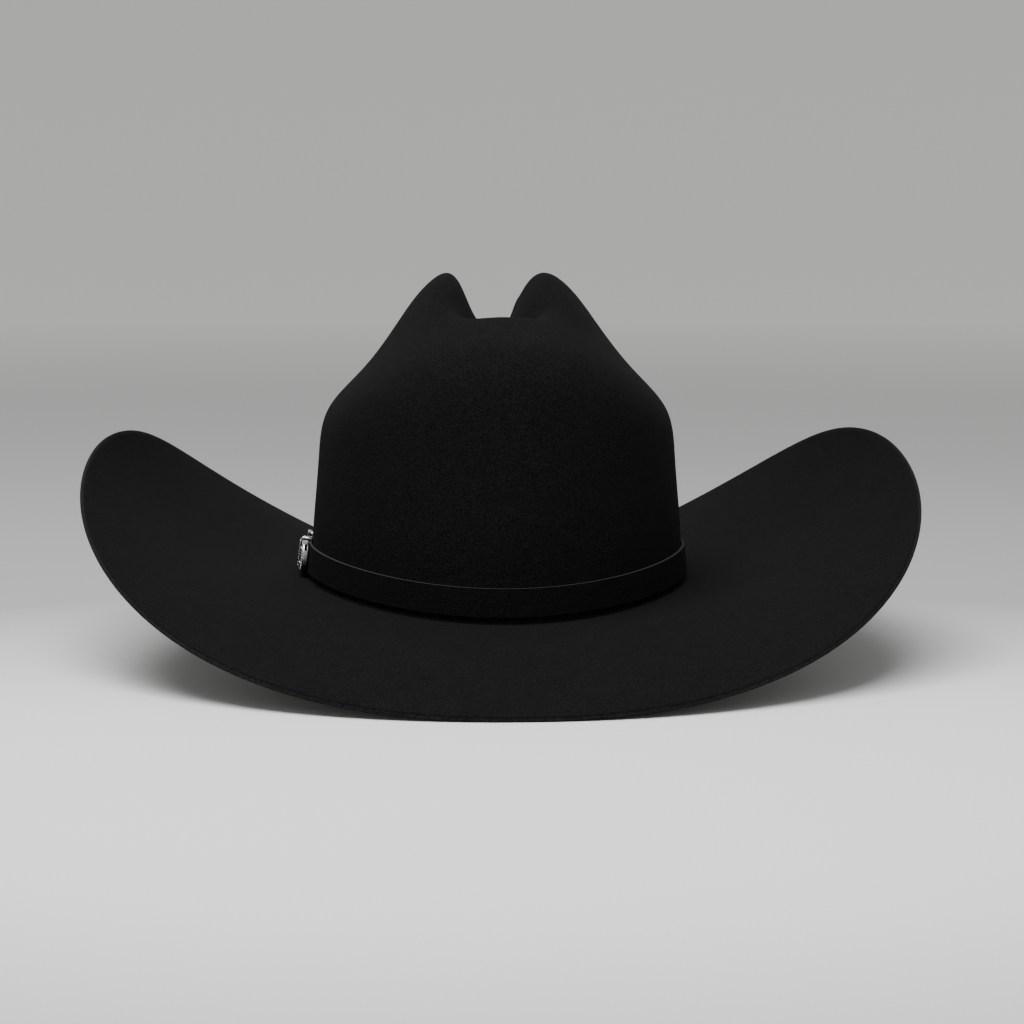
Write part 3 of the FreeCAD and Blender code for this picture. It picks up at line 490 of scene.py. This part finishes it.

# %% [markdown]
# ## The sweatband
#
# The band that touches the head is thin roan leather. It stands a little away from the
# felt, and a fine groove runs just below its free top edge, where the leather thins.
# Leather grain is a net of tiny cells, which a Voronoi pattern draws well.


# %% Leather sweatband
def leather_finish(name, dark, light):
    material, tree, shader = new_finish(name)
    coords = tree.nodes.new("ShaderNodeTexCoord")
    cells = tree.nodes.new("ShaderNodeTexVoronoi")
    cells.inputs["Scale"].default_value = 900.0
    tree.links.new(coords.outputs["Object"], cells.inputs["Vector"])
    wear = noise_node(tree, 70.0, 4.0)
    colour = ramp_node(tree, wear, [(0.35, dark), (0.7, light)])
    tree.links.new(colour, shader.inputs["Base Color"])
    rough = ramp_node(tree, wear, [(0.3, (0.38, 0.38, 0.38)), (0.7, (0.55, 0.55, 0.55))])
    tree.links.new(rough, shader.inputs["Roughness"])
    add_bump(tree, shader, cells.outputs["Distance"], 0.0003, 0.45)
    return material


sweat_leather = leather_finish("sweatband_leather", (0.018, 0.013, 0.011), (0.045, 0.033, 0.027))
SWEATBAND_DEPTH, LEATHER_THICKNESS = 3.3, 1.2
SWEATBAND_FOOT_HEIGHT, SWEATBAND_TOP_HEIGHT = 3.2, 57.0
SWEATBAND_FOOT = place_at_height(SWEATBAND_FOOT_HEIGHT)
SWEATBAND_TOP = place_at_height(SWEATBAND_TOP_HEIGHT)
print("sweatband runs from place", round(SWEATBAND_FOOT, 3), "to", round(SWEATBAND_TOP, 3))
band_rows = np.linspace(SWEATBAND_FOOT, SWEATBAND_TOP, 44)[:, None]
rise = (band_rows - SWEATBAND_FOOT) / (SWEATBAND_TOP - SWEATBAND_FOOT)
groove = 0.18 * np.exp(-(((rise - 0.93) / 0.012) ** 2))
thin_edge = 0.45 * np.exp(-(((rise - 1.0) / 0.02) ** 2))
leather_out = skin_point(angles[None, :], band_rows, SWEATBAND_DEPTH + thin_edge * 0.5)
leather_in = skin_point(
    angles[None, :], band_rows, SWEATBAND_DEPTH + LEATHER_THICKNESS - groove - thin_edge * 0.5
)
leather_loops = np.concatenate([leather_out, leather_in[::-1]])
sweatband = ring_skin("sweatband_leather_strip", leather_loops, [sweat_leather])
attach(sweatband, "hat")
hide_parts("sweatband")

# %% [markdown]
# ## Small trims that the engineering model already has right
#
# The reed, its cloth tape, the piping, the stitches and the patch keep their own meshes,
# because a better shape would not show. Each still gets the finish of its real material.


# %% Finishes for the trims
def plastic_finish(name, colour, roughness):
    material, tree, shader = new_finish(name)
    haze = noise_node(tree, 300.0, 2.0)
    pale = tuple(c * 1.15 for c in colour)
    tree.links.new(ramp_node(tree, haze, [(0.3, colour), (0.7, pale)]), shader.inputs["Base Color"])
    shader.inputs["Roughness"].default_value = roughness
    add_bump(tree, shader, haze, 0.0001, 0.2)
    return material


# dark tone, light tone, roughness, sheen, threads per metre, depth of the weave in metres
cloths = {
    "piping_satin": ((0.03, 0.03, 0.035), (0.08, 0.08, 0.09), 0.35, 0.2, 1500.0, 0.0002),
    "reed_tape_cloth": ((0.012, 0.012, 0.013), (0.04, 0.04, 0.043), 0.8, 0.1, 1200.0, 0.0003),
    "sewing_thread": ((0.010, 0.010, 0.010), (0.05, 0.05, 0.05), 0.6, 0.2, 2500.0, 0.0002),
    "blank_label_cloth": ((0.36, 0.34, 0.30), (0.52, 0.50, 0.45), 0.7, 0.1, 1400.0, 0.0002),
    "grosgrain_ribbon": ((0.010, 0.010, 0.011), (0.045, 0.045, 0.05), 0.45, 0.2, 1400.0, 0.0003),
}
cloths = {name: cloth_finish(name, *recipe) for name, recipe in cloths.items()}
ribbon, thread = cloths["grosgrain_ribbon"], cloths["sewing_thread"]
reed_plastic = plastic_finish("reed_plastic", (0.55, 0.53, 0.45), 0.45)
trim_finishes = {
    "lining_piping": cloths["piping_satin"],
    "reed": reed_plastic,
    "reed_tape": cloths["reed_tape_cloth"],
    "sweatband_stitches": thread,
    "sweatband_seam_patch": sweat_leather,
    "size_tag": cloths["blank_label_cloth"],
    "bow_knot": ribbon,
    "band_tacks": black_felt,
    "fold_stitches": thread,
}


def refinish(node, material):
    """Gives a node of the engineering model a new finish and leaves its mesh alone."""
    obj = frame["nodes"][node]
    obj.data.materials.clear()
    obj.data.materials.append(material)


for node, material in trim_finishes.items():
    refinish(node, material)
print("trims refinished:", len(trim_finishes))

# %% [markdown]
# ## The bow
#
# A tiny ribbon bow marks the back of the sweatband. Two flattened loops and two tails
# come out of a knot. A ribbon is a strip, so each is a short path with an upright width
# and a little thickness.


# %% Ribbon strips
def ribbon_strip(name, path, widths, thickness, material):
    """A strip that stands on edge: path holds points in mm, widths its upright width at each."""
    path = [Vector(p) for p in path]
    verts, faces = [], []
    for k, point in enumerate(path):
        ahead = path[min(k + 1, len(path) - 1)] - path[max(k - 1, 0)]
        side = ahead.cross(Vector((0, 0, 1))).normalized() * (thickness / 2)
        up = side.cross(ahead).normalized() * (widths[k] / 2)
        up = up if up.z > 0 else -up
        corners = (side + up, side - up, -side - up, -side + up)
        verts += [(point + corner) * MM for corner in corners]
    for k in range(len(path) - 1):
        for j in range(4):
            faces.append([4 * k + j, 4 * k + (j + 1) % 4, 4 * k + 4 + (j + 1) % 4, 4 * k + 4 + j])
    last = 4 * (len(path) - 1)
    faces += [[3, 2, 1, 0], [last, last + 1, last + 2, last + 3]]
    return make_object(name, verts, faces, [material], smooth=False)


def joined(name, parts):
    """Joins several meshes of one finish into one piece."""
    mesh = bmesh.new()
    for part in parts:
        mesh.from_mesh(part.data)
        bpy.data.objects.remove(part)
    result = bpy.data.meshes.new(name)
    mesh.to_mesh(result)
    mesh.free()
    result.materials.append(ribbon)
    obj = bpy.data.objects.new(name, result)
    bpy.context.scene.collection.objects.link(obj)
    return obj


low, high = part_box("bow_loops")
loops_middle = (low + high) / 2 / MM
loop_reach = (high.x - low.x) / 2 / MM
loop_strips = []
for side in (-1, 1):
    path, widths = [], []
    for k in range(25):
        turn = 2 * math.pi * k / 24
        out = 1.8 + (loop_reach - 2.2) * 0.5 * (1 - math.cos(turn))
        bend = 0.75 * math.sin(turn)
        path.append(loops_middle + Vector((side * out, bend, 0)))
        widths.append(3.4 + 3.6 * math.sin(turn / 2))
    loop_strips.append(ribbon_strip("loop", path, widths, 0.28, ribbon))
bow_loops = joined("bow_ribbon_loops", loop_strips)

low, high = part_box("bow_tails")
tail_strips = []
for side in (-1, 1):
    top = Vector((side * 1.4, (low.y + high.y) / 2 / MM, high.z / MM - 0.3))
    foot = Vector((side * (high.x / MM - 0.9), top.y, low.z / MM + 0.5))
    verts = []
    steps = 9
    for k in range(steps):
        share = k / (steps - 1)
        middle = top.lerp(foot, share) + Vector((0, 0.12 * math.sin(3 * share), 0))
        wide = Vector((1.15 + 0.25 * share, 0, 0))
        for y in (-0.14, 0.14):
            verts += [(middle + sign * wide + Vector((0, y, 0))) * MM for sign in (-1, 1)]
    faces = []
    for k in range(steps - 1):
        a = 4 * k
        faces += [[a, a + 1, a + 5, a + 4], [a + 3, a + 2, a + 6, a + 7]]
        faces += [[a + 1, a + 3, a + 7, a + 5], [a + 2, a, a + 4, a + 6]]
    faces += [[1, 0, 2, 3], [4 * steps - 4, 4 * steps - 3, 4 * steps - 1, 4 * steps - 2]]
    tail_strips.append(make_object("tail", verts, faces, [ribbon], smooth=False))
bow_tails = joined("bow_ribbon_tails", tail_strips)
for strip, node in ((bow_loops, "bow_loops"), (bow_tails, "bow_tails")):
    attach(strip, "hat")
    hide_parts(node)
print("bow span, mm:", round(2 * loop_reach, 1))

# %% [markdown]
# ## The hatband
#
# The band is a strip cut from the same felt, with raw edges; a highlight is painted on them,
# as if they caught the light. It already has the right folds round the buckle's bar, so its
# mesh stays. The finish tells the cut edges from the faces by which way they look: up or down
# means an edge.


# %% Felt band with a painted highlight on its cut edges
def band_painted_edge_highlight_finish(name):
    material = felt_finish(name, (0.0010, 0.0010, 0.0011), (0.0052, 0.0053, 0.0056), 0.004)
    tree = material.node_tree
    shader = tree.nodes["Principled BSDF"]
    nap = shader.inputs["Base Color"].links[0].from_socket
    geometry = tree.nodes.new("ShaderNodeNewGeometry")
    parts = tree.nodes.new("ShaderNodeSeparateXYZ")
    tree.links.new(geometry.outputs["Normal"], parts.inputs["Vector"])
    level = tree.nodes.new("ShaderNodeMath")
    level.operation = "ABSOLUTE"
    tree.links.new(parts.outputs["Z"], level.inputs[0])
    # painted highlight: faces that look up or down, the cut edges, get a paler colour as if lit
    edge = ramp_node(tree, level.outputs["Value"], [(0.55, (0, 0, 0)), (0.8, (1, 1, 1))])
    colour = blend_colours(tree, edge, nap, (0.034, 0.034, 0.036))
    tree.links.new(colour, shader.inputs["Base Color"])
    return material


refinish("hatband_strap", band_painted_edge_highlight_finish("felt_band"))

# %% [markdown]
# ## The buckle set: where it sits
#
# The set is on the wearer's left. Its frame swings on a thin bar, so the bar's place and
# direction, which the engineering model states as a joint, give us a small workbench of our
# own: X out of the band, Y back along it and Z up the bar. Everything below is drawn there.

# %% The bench on the bar
joints = {j["name"]: j for j in frame["joints"]}
bar_place = Vector(joints["buckle_swing"]["pos_m"])
bar_up = Vector(joints["buckle_swing"]["axis"]).normalized()
BAND_HALF_WIDTH, BAND_HALF_LENGTH = 84.0, 104.0
FRAME_TILT = 15.0


def bench(place, up=bar_up, tilt=0.0):
    """A matrix that takes bench millimetres to the hat: X out, Y back along the band, Z up."""
    out = Vector((place.x / BAND_HALF_WIDTH**2, place.y / BAND_HALF_LENGTH**2, 0))
    out = (out - up * out.dot(up)).normalized()
    back = up.cross(out)
    turn = Matrix((out, back, up)).transposed().to_4x4()
    tilting = Matrix.Rotation(math.radians(tilt), 4, "Z")
    return Matrix.Translation(place) @ turn @ tilting @ Matrix.Scale(MM, 4)


def middle_of(node):
    low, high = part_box(node)
    return (low + high) / 2


frame_bench = bench(bar_place, tilt=FRAME_TILT)
print("bar at, mm:", [round(v / MM, 1) for v in bar_place])

# %% [markdown]
# ## Antiqued silver
#
# Old silver is bright where fingers rub it and dark in every recess. The finish reads the
# shape itself: sharp ridges come out bright, hollows dark, and a little cloudy tarnish lies
# over both. The roughness follows, so the high parts gleam.


# %% Silver finish
def silver_finish(name):
    material, tree, shader = new_finish(name)
    geometry = tree.nodes.new("ShaderNodeNewGeometry")
    ridges = [(0.49, (0.03, 0.03, 0.03)), (0.58, (0.95, 0.95, 0.95))]
    wear = ramp_node(tree, geometry.outputs["Pointiness"], ridges)
    clouds = noise_node(tree, 900.0, 4.0)
    tarnish = ramp_node(tree, clouds, [(0.35, (0.45, 0.45, 0.45)), (0.62, (1.0, 1.0, 1.0))])
    share = blend_colours(tree, 1.0, wear, tarnish, "MULTIPLY")
    colour = blend_colours(tree, share, (0.075, 0.072, 0.070), (0.90, 0.89, 0.86))
    tree.links.new(colour, shader.inputs["Base Color"])
    rough = blend_colours(tree, share, (0.5, 0.5, 0.5), (0.2, 0.2, 0.2))
    tree.links.new(rough, shader.inputs["Roughness"])
    shader.inputs["Metallic"].default_value = 1.0
    add_bump(tree, shader, clouds, 0.00012, 0.4)
    return material


silver = silver_finish("antiqued_silver")
for node in ("buckle_bar", "buckle_prong", "tip_rivets"):
    refinish(node, silver)
print("silver ready")

# %% [markdown]
# ## Casting the buckle parts
#
# Western buckle sets are cast with a raised border of beads or rope and scrolls within it.
# We draw an outline on the bench, sweep a rounded bar along it, and set beads in a row.
# Small round beads, scrolls and a boss, all merged into one casting, catch the light
# as the real engraving does.


# %% Tools for castings
def sweep(bm, path, half_out, half_side, closed=False, sides=10):
    """A rounded bar along a path in the band's plane; half_out is its half depth out of it."""
    rings = []
    count = len(path)
    for k, point in enumerate(path):
        if closed:
            ahead = path[(k + 1) % count] - path[k - 1]
        else:
            ahead = path[min(k + 1, count - 1)] - path[max(k - 1, 0)]
        side = ahead.cross(Vector((1, 0, 0))).normalized()
        ring = []
        for j in range(sides):
            turn = 2 * math.pi * j / sides
            offset = Vector((1, 0, 0)) * half_out * math.cos(turn) + side * half_side * math.sin(turn)
            ring.append(bm.verts.new(point + offset))
        rings.append(ring)
    pairs = list(zip(rings, rings[1:])) + ([(rings[-1], rings[0])] if closed else [])
    for one, other in pairs:
        for j in range(sides):
            bm.faces.new([one[j], one[(j + 1) % sides], other[(j + 1) % sides], other[j]])
    if not closed:
        bm.faces.new(rings[0][::-1])
        bm.faces.new(rings[-1])


def bead(bm, centre, radius, flat=0.8):
    """One raised bead, a little flattened towards the plate."""
    made = bmesh.ops.create_icosphere(bm, subdivisions=2, radius=radius)
    bmesh.ops.scale(bm, vec=(flat, 1, 1), verts=made["verts"])
    bmesh.ops.translate(bm, vec=centre, verts=made["verts"])


def along_path(path, spacing):
    """Evenly spaced points on a path, with the distance as near to spacing as fits."""
    lengths = [0.0]
    for a, b in zip(path, path[1:]):
        lengths.append(lengths[-1] + (b - a).length)
    count = max(2, round(lengths[-1] / spacing))
    points = []
    for k in range(count + 1):
        goal = lengths[-1] * k / count
        reached = next((n for n, v in enumerate(lengths) if v >= goal), 1)
        i = min(max(reached, 1), len(path) - 1)
        share = (goal - lengths[i - 1]) / max(lengths[i] - lengths[i - 1], 1e-9)
        points.append(path[i - 1].lerp(path[i], share))
    return points


def round_from(centre, radius, turn, out):
    """The point at a turn and a radius round a centre in the band's plane."""
    back, up = centre[0] + radius * math.cos(turn), centre[1] + radius * math.sin(turn)
    return Vector((out, back, up))


def arc(centre, radius, start, finish, out=0.0, steps=10):
    """Points of an arc in the band's plane; angles in degrees from the back towards up."""
    turns = [math.radians(mix(start, finish, k / steps)) for k in range(steps + 1)]
    return [round_from(centre, radius, turn, out) for turn in turns]


def scroll(bm, centre, size, out, start, sense):
    """A little raised tendril that winds in on itself and ends in a bead."""
    path = []
    for k in range(22):
        share = k / 21
        turn = start + sense * share * 1.45 * 2 * math.pi
        radius = size * (1 - 0.72 * share)
        path.append(round_from(centre, radius, turn, out))
    sweep(bm, path, 0.24, 0.22, sides=8)
    bead(bm, path[-1], 0.36)


def casting(name, bm, matrix, body, node):
    bmesh.ops.recalc_face_normals(bm, faces=bm.faces)
    mesh = bpy.data.meshes.new(name)
    bm.to_mesh(mesh)
    bm.free()
    mesh.transform(matrix)
    mesh.polygons.foreach_set("use_smooth", [True] * len(mesh.polygons))
    mesh.materials.append(silver)
    obj = bpy.data.objects.new(name, mesh)
    bpy.context.scene.collection.objects.link(obj)
    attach(obj, body)
    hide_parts(node)
    return obj


# %% [markdown]
# ## The buckle frame
#
# The frame is a U: two rails with eyes for the bar, joined by a wide far rim where the
# prong's tip rests. A beaded edge follows the outside, and scrolls fill the rails.

# %% Buckle frame
FRAME_REACH, FRAME_HALF_HEIGHT, RAIL, RIM = 15.6, 8.4, 1.6, 2.8
CORNER = 2.6
rail_middle = FRAME_HALF_HEIGHT - RAIL / 2
bm = bmesh.new()
path = [Vector((0, 1.1, rail_middle)), Vector((0, -4.0, rail_middle))]
path += arc((-(FRAME_REACH - RIM / 2) + CORNER, rail_middle - CORNER), CORNER, 90, 180, steps=8)
path += [Vector((0, -(FRAME_REACH - RIM / 2), 0))]
path += [Vector((0, p.y, -p.z)) for p in reversed(path[:-1])]
fine = along_path(path, 0.7)
sweep(bm, fine, 1.0, RAIL / 2)


def beside_edge(point):
    """On the bar's face and a little outside its middle: outwards on the rim and the rails."""
    if abs(point.z) < 4:
        return point + Vector((0.72, -0.35, 0))
    return point + Vector((0.72, 0, math.copysign(0.34, point.z)))


BEAD_SPACING = 1.25
for spot in along_path([beside_edge(point) for point in fine], BEAD_SPACING):
    bead(bm, spot, 0.5)
for sign in (1, -1):
    eye = {"segments": 20, "radius1": 1.15, "radius2": 1.15, "depth": RAIL, "cap_ends": True}
    ring = bmesh.ops.create_cone(bm, **eye)
    bmesh.ops.translate(bm, vec=(0, 0, sign * rail_middle), verts=ring["verts"])
    scroll(bm, (-9.6, sign * 7.2), 0.95, 0.95, math.pi * 0.5, sign)
    scroll(bm, (-5.6, sign * 7.4), 0.8, 0.95, math.pi * 1.5, -sign)
plate = [Vector((0.15, -(FRAME_REACH - 0.9), z)) for z in np.linspace(-6.2, 6.2, 12)]
sweep(bm, plate, 0.95, 0.8)
buckle = casting("buckle_frame_casting", bm, frame_bench, "buckle", "buckle_frame")
print("buckle frame faces:", len(buckle.data.polygons))

# %% [markdown]
# ## The keeper
#
# The keeper is a loop that holds the strap's free end down, with a domed boss on its face.
# It carries the same beads as the frame and the tip, so the three read as a set.

# %% Keeper loop
keeper_bench = bench(middle_of("keeper_loop"), bar_up)
KEEPER_HALF_WIDTH, KEEPER_HALF_HEIGHT, KEEPER_HALF_DEPTH = 2.5, 7.7, 2.7
bm = bmesh.new()
upper_half = [
    (KEEPER_HALF_DEPTH, 3.0), (KEEPER_HALF_DEPTH - 0.25, KEEPER_HALF_HEIGHT - 1.0),
    (KEEPER_HALF_DEPTH - 1.2, KEEPER_HALF_HEIGHT), (-KEEPER_HALF_DEPTH + 0.3, KEEPER_HALF_HEIGHT),
]
outline = [(x, -z) for x, z in reversed(upper_half)] + upper_half
wall = 0.38
ring_in = [(x - wall if x > 0 else x + wall * 0.6, z - math.copysign(2 * wall, z)) for x, z in outline]
corners = []
for shape in (outline, ring_in):
    ends = (-KEEPER_HALF_WIDTH, KEEPER_HALF_WIDTH)
    corners.append([[bm.verts.new(Vector((x, y, z))) for x, z in shape] for y in ends])
(out_a, out_b), (in_a, in_b) = corners
for k in range(len(outline)):
    m = (k + 1) % len(outline)
    bm.faces.new([out_a[k], out_a[m], out_b[m], out_b[k]])
    bm.faces.new([in_a[m], in_a[k], in_b[k], in_b[m]])
    bm.faces.new([out_a[m], out_a[k], in_a[k], in_a[m]])
    bm.faces.new([out_b[k], out_b[m], in_b[m], in_b[k]])
for y in (-1.95, 1.95):
    for z in np.arange(-6.6, 6.7, 1.2):
        bead(bm, Vector((KEEPER_HALF_DEPTH - 0.1 - (0.5 if abs(z) > 6 else 0), y, z)), 0.5)
bead(bm, Vector((KEEPER_HALF_DEPTH - 0.1, 0, 0)), 1.25, 0.6)
for sign in (1, -1):
    scroll(bm, (0, sign * 3.4), 1.1, KEEPER_HALF_DEPTH + 0.05, math.pi * (0.5 - sign * 0.5), sign)
    bead(bm, Vector((KEEPER_HALF_DEPTH - 0.2, 0, sign * 5.8)), 0.75, 0.6)
    for y in np.arange(-1.8, 1.9, 1.2):
        bead(bm, Vector((0.9, y, sign * (KEEPER_HALF_HEIGHT - 0.05))), 0.42)
keeper = casting("keeper_casting", bm, keeper_bench, "keeper", "keeper_loop")
print("keeper faces:", len(keeper.data.polygons))

# %% [markdown]
# ## The strap's tip
#
# The tip is a flat cap with a pointed end. We bevel the block's long edges first, so that
# light runs round it, and only then lay the beads, a fine inner border and the scrolls on it.

# %% Strap tip
tip_bench = bench(middle_of("strap_tip"))
TIP_HALF_LENGTH, TIP_HALF_HEIGHT, TIP_HALF_DEPTH = 6.25, 6.8, 1.25
bm = bmesh.new()
shape = [
    (-TIP_HALF_LENGTH, -TIP_HALF_HEIGHT), (2.6, -TIP_HALF_HEIGHT), (4.6, -5.2), (5.7, -2.6),
    (TIP_HALF_LENGTH, 0),
    (5.7, 2.6), (4.6, 5.2), (2.6, TIP_HALF_HEIGHT), (-TIP_HALF_LENGTH, TIP_HALF_HEIGHT),
]
plates = []
for x in (-TIP_HALF_DEPTH, TIP_HALF_DEPTH):
    plates.append([bm.verts.new(Vector((x, y, z))) for y, z in shape])
back_plate, front_plate = plates
count = len(shape)
for k in range(count):
    m = (k + 1) % count
    bm.faces.new([back_plate[k], back_plate[m], front_plate[m], front_plate[k]])
bm.faces.new(back_plate[::-1])
bm.faces.new(front_plate)
bmesh.ops.bevel(
    bm, geom=[e for e in bm.edges if abs(e.verts[0].co.x - e.verts[1].co.x) < 0.1],
    offset=0.3, segments=3, profile=0.6, affect="EDGES",
)
border = [Vector((TIP_HALF_DEPTH, y * 0.9 + 0.1, z * 0.88)) for y, z in shape]
border.append(border[0])
for spot in along_path(border, BEAD_SPACING)[:-1]:
    bead(bm, spot, 0.48)
inner_border = [Vector((TIP_HALF_DEPTH - 0.1, p.y * 0.8, p.z * 0.8)) for p in border]
sweep(bm, along_path(inner_border, 0.8)[:-1], 0.25, 0.2, closed=True, sides=8)
bead(bm, Vector((TIP_HALF_DEPTH, 1.4, 0)), 1.0, 0.6)
for sign in (1, -1):
    scroll(bm, (-0.8, sign * 2.9), 1.15, TIP_HALF_DEPTH + 0.02, -math.pi / 2 * sign, sign)
    scroll(bm, (2.7, sign * 2.3), 0.85, TIP_HALF_DEPTH + 0.02, math.pi / 2 * sign, -sign)
    bead(bm, Vector((TIP_HALF_DEPTH, -4.2, sign * 1.1)), 0.5)
tip = casting("tip_casting", bm, tip_bench, "hat", "strap_tip")
print("tip faces:", len(tip.data.polygons))

# %% [markdown]
# ## The studio
#
# The hat rests on a plain pale floor that turns up far away into a round backdrop, like a
# photographer's sweep. Light is painted on the paper: palest behind the hat, on the side that
# the camera looks from, and falling off to painted shade further out. The paper also glows a
# little far away, as a backdrop lit from behind does.


# %% Floor and backdrop
def make_sweep(radius, cove, height, around=96):
    """A round floor with a coved wall, as one smooth surface."""
    profile = [(r, 0.0) for r in (0.0001, 0.4, 0.8, 1.2, 1.8, 2.4, radius)]
    cove_turns = np.linspace(0, math.pi / 2, 17)[1:]
    profile += [(radius + cove * math.sin(t), cove * (1 - math.cos(t))) for t in cove_turns]
    profile += [(radius + cove, cove + height * k / 4) for k in (1, 2, 3, 4)]
    verts, faces = [], []
    for r, z in profile:
        for k in range(around):
            turn = 2 * math.pi * k / around
            verts.append((r * math.cos(turn), r * math.sin(turn), z))
    for row in range(len(profile) - 1):
        for k in range(around):
            a, b = row * around + k, row * around + (k + 1) % around
            faces.append([a, b, b + around, a + around])
    return verts, faces


def distance_share(tree, centre, longest):
    """How far a point of the floor is from a centre, as a share of the longest distance."""
    coords = tree.nodes.new("ShaderNodeTexCoord")
    mapping = tree.nodes.new("ShaderNodeMapping")
    mapping.inputs["Location"].default_value = tuple(-c for c in centre)
    mapping.inputs["Scale"].default_value = (1, 1, 0)
    tree.links.new(coords.outputs["Object"], mapping.inputs["Vector"])
    far = tree.nodes.new("ShaderNodeVectorMath")
    far.operation = "LENGTH"
    tree.links.new(mapping.outputs["Vector"], far.inputs[0])
    share = tree.nodes.new("ShaderNodeMath")
    share.operation = "DIVIDE"
    share.inputs[1].default_value = longest
    tree.links.new(far.outputs["Value"], share.inputs[0])
    return share.outputs["Value"]


def backdrop_painted_light_finish(name):
    """Paper with painted light behind the hat, painted shade further out and a glow far off."""
    material, tree, shader = new_finish(name)
    # painted light: the paper is palest near the hat and darkens outward as painted shade
    painted_light_pool = distance_share(tree, (0, 0.30, 0), 2.0)
    painted_pool_tones = [(0.0, 0.86), (0.1, 0.83), (0.13, 0.80), (0.17, 0.69), (0.19, 0.63), (0.25, 0.42)]
    painted_pool_tones.append((0.6, 0.42))
    colour = ramp_node(tree, painted_light_pool, [(p, (t, t, t * 0.985)) for p, t in painted_pool_tones])
    tree.links.new(colour, shader.inputs["Base Color"])
    glow = distance_share(tree, (0, 0, 0), 5.0)
    steps = [(0.0, 0.0), (0.2, 0.03), (0.32, 0.09), (0.44, 0.19), (0.6, 0.29), (1.0, 0.27)]
    backlight = ramp_node(tree, glow, [(p, (t, t * 0.995, t * 0.965)) for p, t in steps])
    tree.links.new(backlight, shader.inputs["Emission Color"])
    shader.inputs["Emission Strength"].default_value = 1.0
    shader.inputs["Roughness"].default_value = 0.9
    shader.inputs["Specular IOR Level"].default_value = 0.1
    return material


sweep_verts, sweep_faces = make_sweep(3.0, 2.0, 3.0)
backdrop_paper = backdrop_painted_light_finish("backdrop_paper")
studio_floor = make_object("studio_floor", sweep_verts, sweep_faces, [backdrop_paper])
print("floor points:", len(sweep_verts))

# %% [markdown]
# ## The light
#
# One wide soft lamp hangs overhead, towards the camera and the wearer's left, and a faint
# even light fills the shadows: a black hat needs little, or its shape goes flat.


# %% Lamps
def soft_lamp(name, place, aim, width, depth, power):
    lamp = bpy.data.lights.new(name, "AREA")
    lamp.shape = "RECTANGLE"
    lamp.size, lamp.size_y = width, depth
    lamp.energy = power
    obj = bpy.data.objects.new(name, lamp)
    obj.location = place
    obj.rotation_euler = (Vector(aim) - Vector(place)).to_track_quat("-Z", "Y").to_euler()
    bpy.context.scene.collection.objects.link(obj)
    return obj


soft_lamp("overhead_softbox", (0.30, 0.56, 1.62), (0.0, 0.12, 0.0), 1.5, 1.0, 47.0)
world = bpy.data.worlds.new("even_fill")
world.use_nodes = True
background = world.node_tree.nodes["Background"]
background.inputs["Color"].default_value = (0.95, 0.97, 1.0, 1.0)
background.inputs["Strength"].default_value = 0.40
bpy.context.scene.world = world
print("lamps set")

# %% [markdown]
# ## The camera
#
# A long lens from a little above the brim, almost straight behind the hat, keeps the crown
# upright and shows the brim's sweep. It looks at a point inside the lower crown.

# %% Camera
CAMERA_DISTANCE, CAMERA_LIFT, CAMERA_TURN = 1.5, 6.14, 3.0
aim = Vector((-0.0070, 0.0004, 0.0610))
lift, turn = math.radians(CAMERA_LIFT), math.radians(CAMERA_TURN)
lens = bpy.data.cameras.new("portrait_lens")
lens.lens, lens.sensor_width = 115.6, 36.0
lens.clip_start, lens.clip_end = 0.05, 50.0
camera = bpy.data.objects.new("camera", lens)
toward = Vector((math.sin(turn) * math.cos(lift), math.cos(turn) * math.cos(lift), math.sin(lift)))
camera.location = aim + toward * CAMERA_DISTANCE
camera.rotation_euler = (aim - camera.location).to_track_quat("-Z", "Y").to_euler()
bpy.context.scene.collection.objects.link(camera)
bpy.context.scene.camera = camera
print("camera at, m:", [round(v, 3) for v in camera.location])
